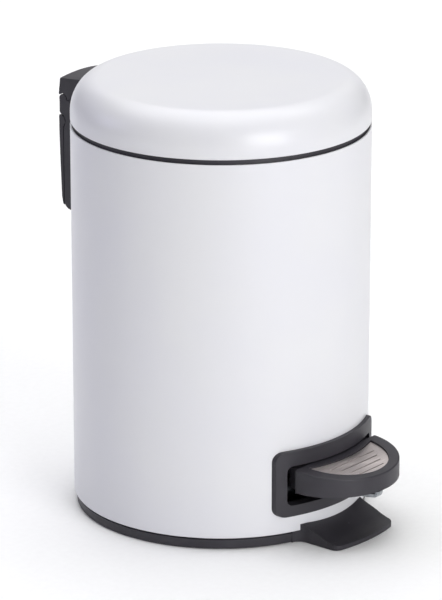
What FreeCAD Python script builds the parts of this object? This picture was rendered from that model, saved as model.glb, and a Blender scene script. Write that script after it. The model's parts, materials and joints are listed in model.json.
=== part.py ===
"""Round pedal bin: steel shell and domed lid, black plastic fittings, pedal lever, push rod and inner bucket.

Millimetres, +Z up. The origin is on the body's axis at floor level, the pedal points to -Y and the hinge to +Y.
"""

import FreeCAD, Part
import math
import os

os.makedirs("parts", exist_ok=True)
V = FreeCAD.Vector

# Overall sizes
BODY_R = 84.0
TOTAL_H = 250.5
HOUSING_DEPTH = 20.5
PEDAL_REACH = 33.7
FOOT_REACH = 23.5

# Sheet, wall and clearance sizes
STEEL = 0.8
GAP = 0.3
PIN_CLEAR = 0.06
LOOSE = 0.1

# Base and its foot
BASE_H = 6.8
BASE_INSET = 1.0
BASE_DRAFT = 0.6
BASE_FLOOR_Z = 0.3
BASE_FLOOR_TOP = 2.8
BASE_COLLAR_H = 7.0
BASE_RING_W = 6.5
SHELL_FLANGE_W = 3.9
DISC_INSET = 17.0
DISC_T = 1.3
FOOT_HALF_W = 26.0
FOOT_ROOT_HALF = 31.0
FOOT_TOP_Z = 10.8
FOOT_CORNER_R = 5.0
FOOT_NOSE_Z = 2.6
FOOT_MID_Z = 6.8
FOOT_SIDE_RUN = 7.0
FOOT_SEAM = 0.15

# Lid and collar
LID_RISE = 25.2
COLLAR_BAND = 2.7
COLLAR_INSET = 0.8
LID_WALL_H = 4.7
SHOULDER_W = 16.0
LID_CROWN = 1.0
LID_OPEN = 75.0
LINER_OUT = 2.0
LINER_T = 1.5
COLLAR_LEDGE_DROP = 5.4
COLLAR_LEDGE_T = 2.2
COLLAR_SKIRT_H = 9.0
COLLAR_SKIRT_W = 2.4
BUFFER_R = 2.0

# Housing, hinge and handle
HOUSING_HALF_W = 18.0
HOUSING_H = 66.1
HOUSING_WALL = 2.2
KNUCKLE_R = 2.6
HINGE_PIN_R = 1.2
KNUCKLE_HALF = 8.0
CAP_RISE = 12.8
CAP_CROWN = 1.7
CAP_PROUD = 0.3
CAP_LEAN = 1.0
CAP_CORNER = 1.6
CAP_ROOF = 4.0
CAP_SLOPE = 4.8
HANDLE_T = 2.7
HANDLE_DROP = 14.0
HANDLE_END_Z = 3.6
HANDLE_ARM_W = 5.4
HANDLE_BAR_H = 14.0
HANDLE_BOSS_R = 3.6
HANDLE_PIN_R = 0.7
HANDLE_BARREL_R = 1.6
HANDLE_PIVOT_IN = 0.5
HANDLE_PROUD = 0.2

# Crank and push rod
ARM_T = 2.4
ARM_SIDE_GAP = 1.3
ELBOW_Y = 4.5
ELBOW_Z = 3.4
CRANK_RIVET_R = 1.2
CRANK_RIVET_HALF = 4.2
ARM_W = 7.0
CRANK_PIN_R = 1.5
ROD_R = 2.0
HEAD_HALF_W = 4.5
HEAD_WALL = 1.5
ROD_HEAD_DROP = 13.0
ROD_FOOT_R = 4.0
CRANK_SIDE_GAP = 3.7

# Pedal window, bezel and pedal
WINDOW_Z0 = 23.9
WINDOW_R = 3.5
BEZEL_LOW_W = 6.4
BEZEL_HIGH_W = 8.6
BEZEL_SIDE_W = 6.1
BEZEL_R = 5.5
BEZEL_PROUD = 2.6
BEZEL_NECK = 1.6
BEZEL_DEPTH = 4.0
PEDAL_HALF_W = 36.3
PEDAL_Z0 = 33.0
PEDAL_H = 13.3
PEDAL_SIDE_GAP = 0.9
PEDAL_TOP_GAP = 0.9
PEDAL_SLOPE = 5.7
PEDAL_WALL = 2.6
PEDAL_ROOF = 3.2
PEDAL_ROUND = 1.7
PEDAL_BOSS_R = 3.4
PEDAL_RIB_X = 15.0
PEDAL_RIB_T = 1.6
LEVER_DEPTH = 1.5
PEDAL_BACK = 1.0
NECK_STEP = 3.6
NECK_LEN = 7.5
PLATE_SIDE_RIM = 8.1
PLATE_FIT = 0.1
PLATE_FRONT_RIM = 5.0
PLATE_BACK_RIM = 6.4
PLATE_T = 0.8
PLATE_DEEP = 0.8
GRIP_RIBS = 4
GRIP_PITCH = 4.6
GRIP_RIB_W = 1.3
GRIP_RIB_H = 0.35

# Lever and its bearing
PIVOT_BACK = 29.0
PIVOT_Z = 20.0
AXLE_R = 2.5
BUSH_R = 4.5
BUSH_HALF = 13.0
EAR_T = 2.5
EAR_R = 6.0
LEVER_T = 2.0
LEVER_HALF_W = 7.0
TONGUE_HALF_W = 2.8
LEVER_TAIL_Z = 7.5

# Inner bucket
BUCKET_SHIFT = -4.0
RIM_MARGIN = 10.7
RIM_W = 2.7
BUCKET_TAPER = 4.6
BUCKET_Z0 = 50.0
BUCKET_WALL = 1.5
RIM_T = 1.5
BAIL_WIRE_R = 1.4
LUG_W = 3.5
GRIP_WALL = 0.8
GRIP_HALF_ANGLE = 24.0

# Fasteners
SCREW_R = 1.5
SCREW_HEAD_R = 2.8
SCREW_HEAD_T = 1.6

# Length of the cutting tools, past every piece
FAR = 200.0

# Places worked out from the sizes above
SHELL_IN = BODY_R - STEEL
BASE_R_TOP = BODY_R - BASE_INSET
BASE_R_FOOT = BASE_R_TOP - BASE_DRAFT
DISC_R = BASE_R_TOP - DISC_INSET
PEDAL_TOP = PEDAL_Z0 + PEDAL_H
WINDOW_Z1 = PEDAL_TOP + PEDAL_TOP_GAP
WINDOW_HALF_W = PEDAL_HALF_W + PEDAL_SIDE_GAP
BEZEL_Z0 = WINDOW_Z0 - BEZEL_LOW_W
BEZEL_Z1 = WINDOW_Z1 + BEZEL_HIGH_W
BEZEL_HALF_W = WINDOW_HALF_W + BEZEL_SIDE_W
NECK_HALF_W = PEDAL_HALF_W - NECK_STEP
PLATE_HALF_W = PEDAL_HALF_W - PLATE_SIDE_RIM
RIM_R = BODY_R - RIM_MARGIN
BUCKET_TOP_R = RIM_R - RIM_W
BUCKET_FOOT_R = BUCKET_TOP_R - BUCKET_TAPER
BAIL_R = BUCKET_TOP_R
HINGE_PIN_HALF = HOUSING_HALF_W - 1.0
SHELL_TOP = TOTAL_H - LID_RISE - COLLAR_BAND
LID_Z0 = TOTAL_H - LID_RISE
COLLAR_TOP = LID_Z0 - GAP
WALL_TOP = LID_Z0 + LID_WALL_H
LID_SHOULDER_H = TOTAL_H - LID_CROWN - WALL_TOP
LID_FLAT_R = BODY_R - SHOULDER_W
REAR_Y = BODY_R + HOUSING_DEPTH
HINGE_Y = REAR_Y - KNUCKLE_R
HINGE_Z = SHELL_TOP - 0.6
HOUSING_TOP = HINGE_Z - 0.4
HOUSING_Z0 = SHELL_TOP - HOUSING_H
CAP_Z0 = HINGE_Z
HALF_SWING = LID_OPEN / 2
CRANK_LOW_Y = SHELL_IN - CRANK_SIDE_GAP
CRANK_R = (HINGE_Y - CRANK_LOW_Y) / math.cos(math.radians(HALF_SWING))
CRANK_Z = HINGE_Z - CRANK_R * math.sin(math.radians(HALF_SWING))
CRANK_MID_Y = HINGE_Y - CRANK_R
ROD_Y = (CRANK_LOW_Y + CRANK_MID_Y) / 2
SWING_ERROR = 0.5
SLOT_HALF_H = CRANK_PIN_R + SWING_ERROR + 0.1
SLOT_END_GAP = 0.2
PIVOT_Y = -(BODY_R - PIVOT_BACK)
HANDLE_Y = REAR_Y - HANDLE_PIVOT_IN
HANDLE_PIVOT_Z = SHELL_TOP - HANDLE_DROP
HANDLE_TOP = HANDLE_PIVOT_Z + HANDLE_BOSS_R
HANDLE_SEAT_Y = REAR_Y - HANDLE_T - GAP
PEDAL_Y = -(BODY_R + PEDAL_BACK)
LEDGE_Z = COLLAR_TOP - COLLAR_LEDGE_DROP
RIM_Z0 = LEDGE_Z + LOOSE
BAIL_Z = RIM_Z0 + RIM_T + GAP + BAIL_WIRE_R


def box(x0, x1, y0, y1, z0, z1):
    return Part.makeBox(x1 - x0, y1 - y0, z1 - z0, V(x0, y0, z0))


def disc(r, z0, z1, y=0.0, x=0.0):
    return Part.makeCylinder(r, z1 - z0, V(x, y, z0))


def ring(r_out, r_in, z0, z1, y=0.0):
    return disc(r_out, z0, z1, y).cut(disc(r_in, z0 - 1, z1 + 1, y))


def rod_x(r, x0, x1, y, z):
    return Part.makeCylinder(r, x1 - x0, V(x0, y, z), V(1, 0, 0))


def rod_y(r, y0, y1, x, z):
    return Part.makeCylinder(r, y1 - y0, V(x, y0, z), V(0, 1, 0))


def wire_of(points):
    return Part.makePolygon([V(*p) for p in points] + [V(*points[0])])


def prism_x(points, x0, x1):
    """A solid whose (y, z) outline runs from x0 to x1."""
    face = Part.Face(wire_of([(x0, y, z) for y, z in points]))
    return face.extrude(V(x1 - x0, 0, 0))


def turned(points):
    """A solid turned about the Z axis from an (r, z) outline."""
    face = Part.Face(wire_of([(r, 0, z) for r, z in points]))
    return face.revolve(V(0, 0, 0), V(0, 0, 1), 360)


def rounded_prism_y(half_w, z0, z1, r, y0, y1):
    """A block along Y whose four long edges have the radius r."""
    solid = box(-half_w, half_w, y0, y1, z0, z1)
    long_edges = [e for e in solid.Edges if abs(e.tangentAt(e.FirstParameter).y) > 0.9]
    return solid.makeFillet(r, long_edges)


def capsule_x(y0, z0, y1, z1, r, x0, x1):
    """A flat bar between two rounded ends, lying across X."""
    length = math.hypot(y1 - y0, z1 - z0)
    ny = -(z1 - z0) / length * r
    nz = (y1 - y0) / length * r
    body = prism_x([(y0 + ny, z0 + nz), (y1 + ny, z1 + nz), (y1 - ny, z1 - nz), (y0 - ny, z0 - nz)], x0, x1)
    return body.fuse([rod_x(r, x0, x1, y0, z0), rod_x(r, x0, x1, y1, z1)]).removeSplitter()


def fillet_where(solid, r, test):
    """Rounds the edges for which test(edge) is true."""
    return solid.makeFillet(r, [e for e in solid.Edges if test(e)])


def save(node, shape):
    shape.exportStep(os.path.join("parts", node + ".step"))


def group(solids):
    return Part.makeCompound(solids)


# ---------------------------------------------------------------- body

def body_shell():
    tube = ring(BODY_R, SHELL_IN, BASE_H, SHELL_TOP)
    outer = disc(BODY_R, BASE_H, SHELL_TOP)
    outer = fillet_where(outer, STEEL, lambda e: abs(e.BoundBox.ZMax - BASE_H) < 0.01)
    flange = ring(BODY_R, SHELL_IN - SHELL_FLANGE_W, BASE_H, BASE_H + STEEL)
    shell = tube.fuse(flange).common(outer).removeSplitter()
    edge = BEZEL_NECK + LOOSE
    window = rounded_prism_y(
        WINDOW_HALF_W + edge, WINDOW_Z0 - edge, WINDOW_Z1 + edge, WINDOW_R + edge, -BODY_R - 5, -BODY_R / 2
    )
    slot_half = ARM_T / 2 + ARM_SIDE_GAP
    notch = box(-slot_half, slot_half, BODY_R / 2, BODY_R + 5, CRANK_Z - 3.0, SHELL_TOP + 1)
    shell = shell.cut([window, notch])
    for x, z in housing_screw_places():
        shell = shell.cut(rod_y(SCREW_R + LOOSE, BODY_R / 2, BODY_R + 5, x, z))
    return shell


def top_collar():
    band_r = BODY_R - COLLAR_INSET
    band = disc(band_r, SHELL_TOP, COLLAR_TOP)
    plug = disc(SHELL_IN - LOOSE, LEDGE_Z - COLLAR_LEDGE_T, SHELL_TOP)
    skirt = ring(SHELL_IN - LOOSE, SHELL_IN - LOOSE - COLLAR_SKIRT_W, SHELL_TOP - COLLAR_SKIRT_H, SHELL_TOP)
    solid = band.fuse([plug, skirt])
    mouth = disc(RIM_R + GAP, LEDGE_Z, COLLAR_TOP + 1, BUCKET_SHIFT)
    throat = disc(BUCKET_TOP_R + 2 * GAP, 0, LEDGE_Z + 1, BUCKET_SHIFT)
    half = HEAD_HALF_W + 0.7
    rod_slot = box(-half, half, CRANK_MID_Y - 6.0, BODY_R + 2, SHELL_TOP - 20, COLLAR_TOP + 1)
    return solid.cut([mouth, throat, rod_slot]).removeSplitter()


def foot_sector(r, half_w, z0, z1):
    """The front sector of the base between two radial seams that meet the ring at half_w."""
    angle = math.asin(half_w / BASE_R_TOP)
    far = r * 1.5
    x = far * math.sin(angle)
    y = -far * math.cos(angle)
    face = Part.Face(wire_of([(0, 0, z0), (-x, y, z0), (x, y, z0)]))
    return face.extrude(V(0, 0, z1 - z0))


def base_tray():
    inner = BASE_R_TOP - BASE_RING_W
    collar_r = SHELL_IN - SHELL_FLANGE_W - LOOSE
    outline = [
        (0, BASE_FLOOR_Z), (BASE_R_FOOT, BASE_FLOOR_Z), (BASE_R_TOP, BASE_H), (collar_r, BASE_H),
        (collar_r, BASE_H + BASE_COLLAR_H), (inner, BASE_H + BASE_COLLAR_H), (inner, BASE_FLOOR_TOP), (0, BASE_FLOOR_TOP),
    ]
    tray = turned(outline)
    recess = disc(DISC_R + LOOSE, -1, DISC_T)
    notch = foot_sector(BODY_R, FOOT_ROOT_HALF + FOOT_SEAM, -1, BASE_H + 0.01)
    notch = notch.cut(disc(collar_r, -2, BASE_H + 2))
    tray = tray.cut([recess, notch])
    half = LEVER_HALF_W + 1.6
    tray = tray.cut(box(-half, half, BODY_R / 2, collar_r, BASE_FLOOR_TOP, BASE_H + BASE_COLLAR_H + 1))
    for x, y in bracket_rivet_places():
        tray = tray.cut(disc(SCREW_R, -1, BASE_FLOOR_TOP + 1, y, x))
    return tray


def anti_slip_disc():
    return disc(DISC_R, 0, DISC_T)


def foot_plan(z1):
    """The foot's outline from above: straight sides, a round nose and hollow corners at the ring."""
    w = FOOT_HALF_W
    root = FOOT_ROOT_HALF
    nose = BODY_R + FOOT_REACH
    root_y = -math.sqrt(BASE_R_TOP ** 2 - root ** 2)
    side_y = root_y - FOOT_SIDE_RUN
    nose_y = -math.sqrt(nose ** 2 - w ** 2)
    edges = []
    bow = 0.29 * (root - w)
    for s in (-1, 1):
        mid = V(s * (w + bow), root_y - FOOT_SIDE_RUN * 0.42, 0)
        edges.append(Part.Arc(V(s * root, root_y, 0), mid, V(s * w, side_y, 0)).toShape())
        edges.append(Part.makeLine(V(s * w, side_y, 0), V(s * w, nose_y, 0)))
        edges.append(Part.makeLine(V(s * root, root_y, 0), V(s * root, root_y + 20, 0)))
    edges.append(Part.Arc(V(-w, nose_y, 0), V(0, -nose, 0), V(w, nose_y, 0)).toShape())
    edges.append(Part.makeLine(V(-root, root_y + 20, 0), V(root, root_y + 20, 0)))
    face = Part.Face(Part.Wire(Part.__sortEdges__(edges)))
    return face.extrude(V(0, 0, z1))


def stabiliser_foot():
    r = BODY_R
    nose = r + FOOT_REACH
    side = [
        (-r / 2, BASE_FLOOR_Z), (-nose - 1, BASE_FLOOR_Z), (-nose - 1, FOOT_NOSE_Z), (-nose + 2, FOOT_NOSE_Z + 0.3),
        (-r - 16, FOOT_NOSE_Z + 1.1), (-r - 8, FOOT_MID_Z), (-r + 3, FOOT_TOP_Z), (-r / 2, FOOT_TOP_Z),
    ]
    tongue = foot_plan(FOOT_TOP_Z + 1)
    nose_y = math.sqrt(nose ** 2 - FOOT_HALF_W ** 2)
    tongue = fillet_where(
        tongue, FOOT_CORNER_R,
        lambda e: abs(e.BoundBox.XLength) < 0.01 and abs(e.BoundBox.YLength) < 0.01 and abs(e.BoundBox.YMax + nose_y) < 0.1,
    )
    tongue = tongue.common(prism_x(side, -FOOT_ROOT_HALF - 1, FOOT_ROOT_HALF + 1))
    above = disc(BODY_R + 0.05, BASE_H, FOOT_TOP_Z + 2)
    beside = disc(BASE_R_TOP + 0.02, -1, BASE_H).cut(foot_sector(BODY_R, FOOT_ROOT_HALF, -2, BASE_H + 1))
    tongue = tongue.cut([above, disc(BASE_R_TOP - 1, -1, FOOT_TOP_Z), beside])
    collar_r = SHELL_IN - SHELL_FLANGE_W
    share = turned([(collar_r, BASE_FLOOR_Z), (BASE_R_FOOT, BASE_FLOOR_Z), (BASE_R_TOP, BASE_H), (collar_r, BASE_H)])
    share = share.common(foot_sector(BODY_R, FOOT_ROOT_HALF, -1, BASE_H + 1))
    return tongue.fuse(share).removeSplitter()


def pedal_bezel():
    near = -BODY_R - 6
    far = -BODY_R / 2
    frame = ring(BODY_R + BEZEL_PROUD, BODY_R, BEZEL_Z0 - 1, BEZEL_Z1 + 1)
    frame = frame.common(rounded_prism_y(BEZEL_HALF_W, BEZEL_Z0, BEZEL_Z1, BEZEL_R, near, far))
    opening = rounded_prism_y(WINDOW_HALF_W, WINDOW_Z0, WINDOW_Z1, WINDOW_R, near - 1, far + 1)
    neck = rounded_prism_y(
        WINDOW_HALF_W + BEZEL_NECK, WINDOW_Z0 - BEZEL_NECK, WINDOW_Z1 + BEZEL_NECK, WINDOW_R + BEZEL_NECK, near, far
    )
    neck = neck.common(ring(BODY_R + 0.5, BODY_R - BEZEL_DEPTH, BEZEL_Z0, BEZEL_Z1))
    bezel = frame.cut(opening)
    face_r = BODY_R + BEZEL_PROUD
    bezel = fillet_where(bezel, 1.0, lambda e: on_radius(e, face_r))
    return bezel.fuse(neck.cut(opening)).removeSplitter()


def on_radius(edge, r):
    """True for an edge that lies on the cylinder of radius r about the body's axis."""
    count = 5
    for i in range(count):
        t = edge.FirstParameter + (edge.LastParameter - edge.FirstParameter) * i / (count - 1)
        p = edge.valueAt(t)
        if abs(math.hypot(p.x, p.y) - r) > 0.01:
            return False
    return True


# ---------------------------------------------------------------- lever bearing

def bracket_rivet_places():
    return [(x, PIVOT_Y + y) for x in (-9.0, 9.0) for y in (-5.0, 5.0)]


def axle_bracket():
    ear_x = BUSH_HALF + 0.5
    plate = box(-ear_x - EAR_T, ear_x + EAR_T, PIVOT_Y - 8, PIVOT_Y + 8, BASE_FLOOR_TOP, BASE_FLOOR_TOP + EAR_T)
    parts = [plate]
    for x0 in (-ear_x - EAR_T, ear_x):
        parts.append(capsule_x(PIVOT_Y, BASE_FLOOR_TOP + EAR_R, PIVOT_Y, PIVOT_Z, EAR_R, x0, x0 + EAR_T))
    solid = parts[0].fuse(parts[1:]).removeSplitter()
    solid = solid.cut(rod_x(AXLE_R, -FAR, FAR, PIVOT_Y, PIVOT_Z))
    for x, y in bracket_rivet_places():
        solid = solid.cut(disc(SCREW_R, 0, PIVOT_Z, y, x))
    return solid


def bracket_rivets():
    rivets = []
    top = BASE_FLOOR_TOP + EAR_T
    for x, y in bracket_rivet_places():
        shank = disc(SCREW_R, DISC_T + 0.1, top, y, x)
        head = Part.makeCone(SCREW_HEAD_R, SCREW_HEAD_R * 0.6, 1.2, V(x, y, top))
        rivets.append(shank.fuse(head).removeSplitter())
    return group(rivets)


def lever_axle():
    half = BUSH_HALF + 0.5 + EAR_T + 1.5
    axle = rod_x(AXLE_R, -half, half, PIVOT_Y, PIVOT_Z)
    return fillet_where(axle, 0.6, lambda e: e.Closed)


def lever_bush():
    bush = rod_x(BUSH_R, -BUSH_HALF, BUSH_HALF, PIVOT_Y, PIVOT_Z)
    return bush.cut(rod_x(AXLE_R + PIN_CLEAR, -FAR, FAR, PIVOT_Y, PIVOT_Z))


# ---------------------------------------------------------------- pedal and lever

def pedal_oval(a, b, z0, z1):
    """An oval block centred on the pedal's back edge, with half axes a across and b to the front."""
    oval = Part.Ellipse(V(a, PEDAL_Y, z0), V(0, PEDAL_Y - b, z0), V(0, PEDAL_Y, z0))
    return Part.Face(Part.Wire(oval.toShape())).extrude(V(0, 0, z1 - z0))


def pedal_roof_cut(drop):
    """A big block whose flat underside is the pedal's sloping top, lowered by drop."""
    block = box(-FAR, FAR, -FAR, FAR, 0, FAR)
    block.rotate(V(0, 0, 0), V(1, 0, 0), PEDAL_SLOPE)
    block.translate(V(0, -BODY_R, PEDAL_TOP - drop))
    return block


def half_oval(grow, z0, z1, back):
    """The pedal's half oval, grown all round, with a straight back."""
    oval = pedal_oval(PEDAL_HALF_W + grow, PEDAL_REACH - PEDAL_BACK + grow, z0, z1)
    return oval.cut(box(-FAR, FAR, back, FAR, z0 - 1, z1 + 1))


def pedal_plate_plan(z0, z1, grow):
    """The inlay's outline: the pedal's oval drawn in, cut by an arc about the body's axis."""
    solid = pedal_oval(PLATE_HALF_W + grow, PEDAL_REACH - PEDAL_BACK - PLATE_FRONT_RIM + grow, z0, z1)
    return solid.cut(disc(BODY_R + PLATE_BACK_RIM - grow, z0 - 1, z1 + 1))


def pedal_screw_places():
    return [(0.0, PEDAL_Y + 4.5), (0.0, PEDAL_Y - 6.5)]


def lever_deck_z():
    return PEDAL_Z0 + LEVER_DEPTH + LEVER_T


def pedal_cap():
    back = PEDAL_Y + 2.0
    top = PEDAL_TOP + 4
    outer = half_oval(0, PEDAL_Z0, top, back)
    outer = outer.cut(pedal_roof_cut(0))
    outer = fillet_where(outer, PEDAL_ROUND, lambda e: e.BoundBox.ZMin > PEDAL_Z0 + 5 and e.BoundBox.YMin < PEDAL_Y - 5)
    neck = box(-NECK_HALF_W, NECK_HALF_W, back - 1, back + NECK_LEN, PEDAL_Z0, PEDAL_TOP - 1.0)
    solid = outer.fuse(neck)
    cavity = half_oval(-PEDAL_WALL, PEDAL_Z0 - 1, top, back)
    neck_in = NECK_HALF_W - PEDAL_WALL
    neck_room = box(-neck_in, neck_in, back - 2, back + NECK_LEN + 1, PEDAL_Z0 - 1, PEDAL_TOP - PEDAL_ROOF)
    cavity = cavity.cut(pedal_roof_cut(PEDAL_ROOF)).fuse(neck_room)
    solid = solid.cut(cavity)
    seat = pedal_plate_plan(PEDAL_Z0, top, PLATE_FIT).cut(pedal_seat_floor())
    solid = solid.cut(seat)
    for x, y in pedal_screw_places():
        boss_top = PEDAL_TOP - PEDAL_ROOF + 0.8 + (y + BODY_R) * math.tan(math.radians(PEDAL_SLOPE))
        solid = solid.fuse(disc(PEDAL_BOSS_R, lever_deck_z(), boss_top, y, x))
    for x in (-PEDAL_RIB_X, PEDAL_RIB_X):
        rib = box(x - PEDAL_RIB_T / 2, x + PEDAL_RIB_T / 2, PEDAL_Y - 20, PEDAL_Y + 5, PEDAL_Z0 + 2, PEDAL_TOP - PEDAL_ROOF - 1.5)
        solid = solid.fuse(rib)
    for x, y in pedal_screw_places():
        solid = solid.cut(disc(SCREW_R - 0.1, PEDAL_Z0 - 1, lever_deck_z() + 4, y, x))
    return solid.removeSplitter()


def pedal_seat_floor():
    """Everything below the inlay's seat."""
    block = box(-FAR, FAR, -FAR, FAR, -FAR, 0)
    block.rotate(V(0, 0, 0), V(1, 0, 0), PEDAL_SLOPE)
    block.translate(V(0, -BODY_R, PEDAL_TOP - PLATE_DEEP - PLATE_T))
    return block


def pedal_plate():
    plate = pedal_plate_plan(PEDAL_Z0, PEDAL_TOP + 4, 0)
    plate = plate.cut(pedal_seat_floor()).cut(pedal_roof_cut(PLATE_DEEP))
    for i in range(GRIP_RIBS):
        y = -BODY_R - PLATE_BACK_RIM - 4.0 - i * GRIP_PITCH
        half = PLATE_HALF_W - 9.0 - i * 3.0
        rib = capsule_rib(half)
        rib.rotate(V(0, 0, 0), V(1, 0, 0), PEDAL_SLOPE)
        rib.translate(V(0, y, PEDAL_TOP - PLATE_DEEP + (y + BODY_R) * math.tan(math.radians(PEDAL_SLOPE))))
        plate = plate.fuse(rib)
    return plate.removeSplitter()


def capsule_rib(half):
    """A low rounded grip rib, centred on the origin and lying along X."""
    r = (GRIP_RIB_W ** 2 / 4 + GRIP_RIB_H ** 2) / (2 * GRIP_RIB_H)
    rib = rod_x(r, -half, half, 0, GRIP_RIB_H - r)
    return rib.common(box(-half, half, -r, r, -0.2, r))


def lever_path():
    """The lever's middle line from its tail under the push rod to the hook under the pedal."""
    deck = lever_deck_z() - LEVER_T / 2
    over = PIVOT_Z + BUSH_R + LEVER_T / 2
    front = PEDAL_Y - (PEDAL_REACH - PEDAL_BACK)
    return [
        (ROD_Y + 2.0, LEVER_TAIL_Z), (PIVOT_Y + 9, over), (PIVOT_Y - 6, over), (PEDAL_Y + 12, deck),
        (PEDAL_Y - 11, deck), (PEDAL_Y - 18, PEDAL_Z0 - 6.4), (front + 1.9, PEDAL_Z0 - 3.6), (front + 1.3, PEDAL_Z0 - 1.1),
    ]


def strip(points, half_t):
    """Offsets a (y, z) path to both sides, with mitred corners."""
    left = []
    right = []
    for i, (y, z) in enumerate(points):
        normals = []
        for a, b in ((i - 1, i), (i, i + 1)):
            if a < 0 or b >= len(points):
                continue
            dy = points[b][0] - points[a][0]
            dz = points[b][1] - points[a][1]
            size = math.hypot(dy, dz)
            normals.append((-dz / size, dy / size))
        ny = sum(n[0] for n in normals) / len(normals)
        nz = sum(n[1] for n in normals) / len(normals)
        scale = half_t / (ny ** 2 + nz ** 2)
        left.append((y + ny * scale, z + nz * scale))
        right.append((y - ny * scale, z - nz * scale))
    return left + right[::-1]


def pedal_lever():
    path = lever_path()
    wide = prism_x(strip(path[:5], LEVER_T / 2), -LEVER_HALF_W, LEVER_HALF_W)
    tongue = prism_x(strip(path[4:], LEVER_T / 2), -TONGUE_HALF_W, TONGUE_HALF_W)
    join = box(-TONGUE_HALF_W, TONGUE_HALF_W, path[4][0] - 1.2, path[4][0] + 1, path[4][1] - 1, path[4][1] + 1)
    solid = wide.fuse([tongue, join]).removeSplitter()
    for x, y in pedal_screw_places():
        solid = solid.cut(disc(SCREW_R, PEDAL_Z0 - 1, lever_deck_z() + 1, y, x))
    return solid


def pedal_screws():
    screws = []
    under = lever_deck_z() - LEVER_T
    for x, y in pedal_screw_places():
        head = disc(SCREW_HEAD_R, under - 1.2, under, y, x)
        shank = disc(SCREW_R - 0.1, under, lever_deck_z() + 4, y, x)
        screws.append(head.fuse(shank).removeSplitter())
    return group(screws)


# ---------------------------------------------------------------- push rod

def rod_foot_z():
    """Centre of the rod's round foot, a small gap above the lever's tail."""
    (y0, z0), (y1, z1) = lever_path()[:2]
    slope = (z1 - z0) / (y1 - y0)
    line = z0 + (ROD_Y - y0) * slope
    return line + (LEVER_T / 2 + GAP + 0.05 + ROD_FOOT_R) * math.hypot(1, slope)


def push_rod():
    return disc(ROD_R, rod_foot_z() + 1, CRANK_Z - 9.5, ROD_Y)


def rod_foot():
    z = rod_foot_z()
    ball = Part.makeSphere(ROD_FOOT_R, V(0, ROD_Y, z))
    solid = ball.fuse(disc(ROD_FOOT_R, z, z + 9, ROD_Y)).removeSplitter()
    return solid.cut(disc(ROD_R, z + 1, z + 20, ROD_Y))


def rod_head():
    y0 = CRANK_MID_Y - CRANK_PIN_R - SLOT_END_GAP - 1.6
    y1 = SHELL_IN - 0.6
    z0 = CRANK_Z - ROD_HEAD_DROP
    block = box(-HEAD_HALF_W, HEAD_HALF_W, y0, y1, z0, CRANK_Z + SLOT_HALF_H + HEAD_WALL)
    fork_half = ARM_T / 2 + 0.3
    fork = box(-fork_half, fork_half, y0 - 1, y1 + 1, CRANK_Z - 7.8, CRANK_Z + 20)
    slot_y0 = CRANK_MID_Y - CRANK_PIN_R - SLOT_END_GAP
    slot_y1 = CRANK_LOW_Y + CRANK_PIN_R + SLOT_END_GAP
    slot = box(-20, 20, slot_y0, slot_y1, CRANK_Z - SLOT_HALF_H, CRANK_Z + SLOT_HALF_H)
    socket = disc(ROD_R, z0 - 1, CRANK_Z - 9.5, ROD_Y)
    return block.cut([fork, slot, socket])


def rod_guide_levels():
    return [CRANK_Z * 0.3, CRANK_Z * 0.72]


def rod_guides():
    guides = []
    for z in rod_guide_levels():
        block = box(-6, 6, ROD_Y - ROD_R - 2.4, BODY_R, z, z + 7)
        block = block.common(disc(SHELL_IN - 0.02, z - 1, z + 8))
        guides.append(block.cut(disc(ROD_R + PIN_CLEAR, z - 1, z + 8, ROD_Y)))
    return group(guides)


# ---------------------------------------------------------------- lid

def lid_outline(inset, z0):
    """The dome's (r, z) edges, drawn in by inset, from the axis down to z0."""
    r = BODY_R - inset
    top = TOTAL_H - inset
    shoulder = TOTAL_H - LID_CROWN - inset
    bend = 0.5523
    curve = Part.BezierCurve()
    curve.setPoles([
        V(r, 0, WALL_TOP), V(r, 0, WALL_TOP + bend * (LID_SHOULDER_H - inset)),
        V(LID_FLAT_R + bend * (SHOULDER_W - inset), 0, shoulder), V(LID_FLAT_R, 0, shoulder),
    ])
    crown = Part.BezierCurve()
    crown.setPoles([V(LID_FLAT_R, 0, shoulder), V(LID_FLAT_R / 2, 0, top), V(0, 0, top)])
    return [Part.makeLine(V(r, 0, z0), V(r, 0, WALL_TOP)), curve.toShape(), crown.toShape()]


def lid_solid(inset, z0):
    """The whole dome as one solid, drawn in by inset."""
    edges = lid_outline(inset, z0)
    edges.append(Part.makeLine(V(0, 0, TOTAL_H - inset), V(0, 0, z0)))
    edges.append(Part.makeLine(V(0, 0, z0), V(BODY_R - inset, 0, z0)))
    return Part.Face(Part.Wire(edges)).revolve(V(0, 0, 0), V(0, 0, 1), 360)


def lid_screw_places():
    return [(x, WALL_TOP - 0.6) for x in (-11.0, 11.0)]


def lid_screw_holes(grow):
    return [rod_y(SCREW_R + grow, BODY_R - 8, REAR_Y - 8, x, z) for x, z in lid_screw_places()]


def lid_shell():
    outer = lid_solid(0, LID_Z0)
    outer = fillet_where(outer, 0.7, lambda e: e.Closed and abs(e.BoundBox.ZMax - LID_Z0) < 0.01)
    shell = outer.cut(lid_solid(STEEL, LID_Z0 - 1))
    hem = ring(BODY_R - STEEL / 2, BODY_R - 1.7, LID_Z0, LID_Z0 + 0.8).common(outer)
    return shell.fuse(hem).removeSplitter().cut(lid_screw_holes(0.05))


def lid_liner():
    liner = lid_solid(LINER_OUT, LID_Z0 + 1.1).cut(lid_solid(LINER_OUT + LINER_T, LID_Z0))
    rim = ring(BODY_R - STEEL - LOOSE, BODY_R - LINER_OUT - LINER_T, LID_Z0 + 1.1, LID_Z0 + 2.6)
    return liner.fuse(rim).removeSplitter().cut(lid_screw_holes(0.05))


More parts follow.
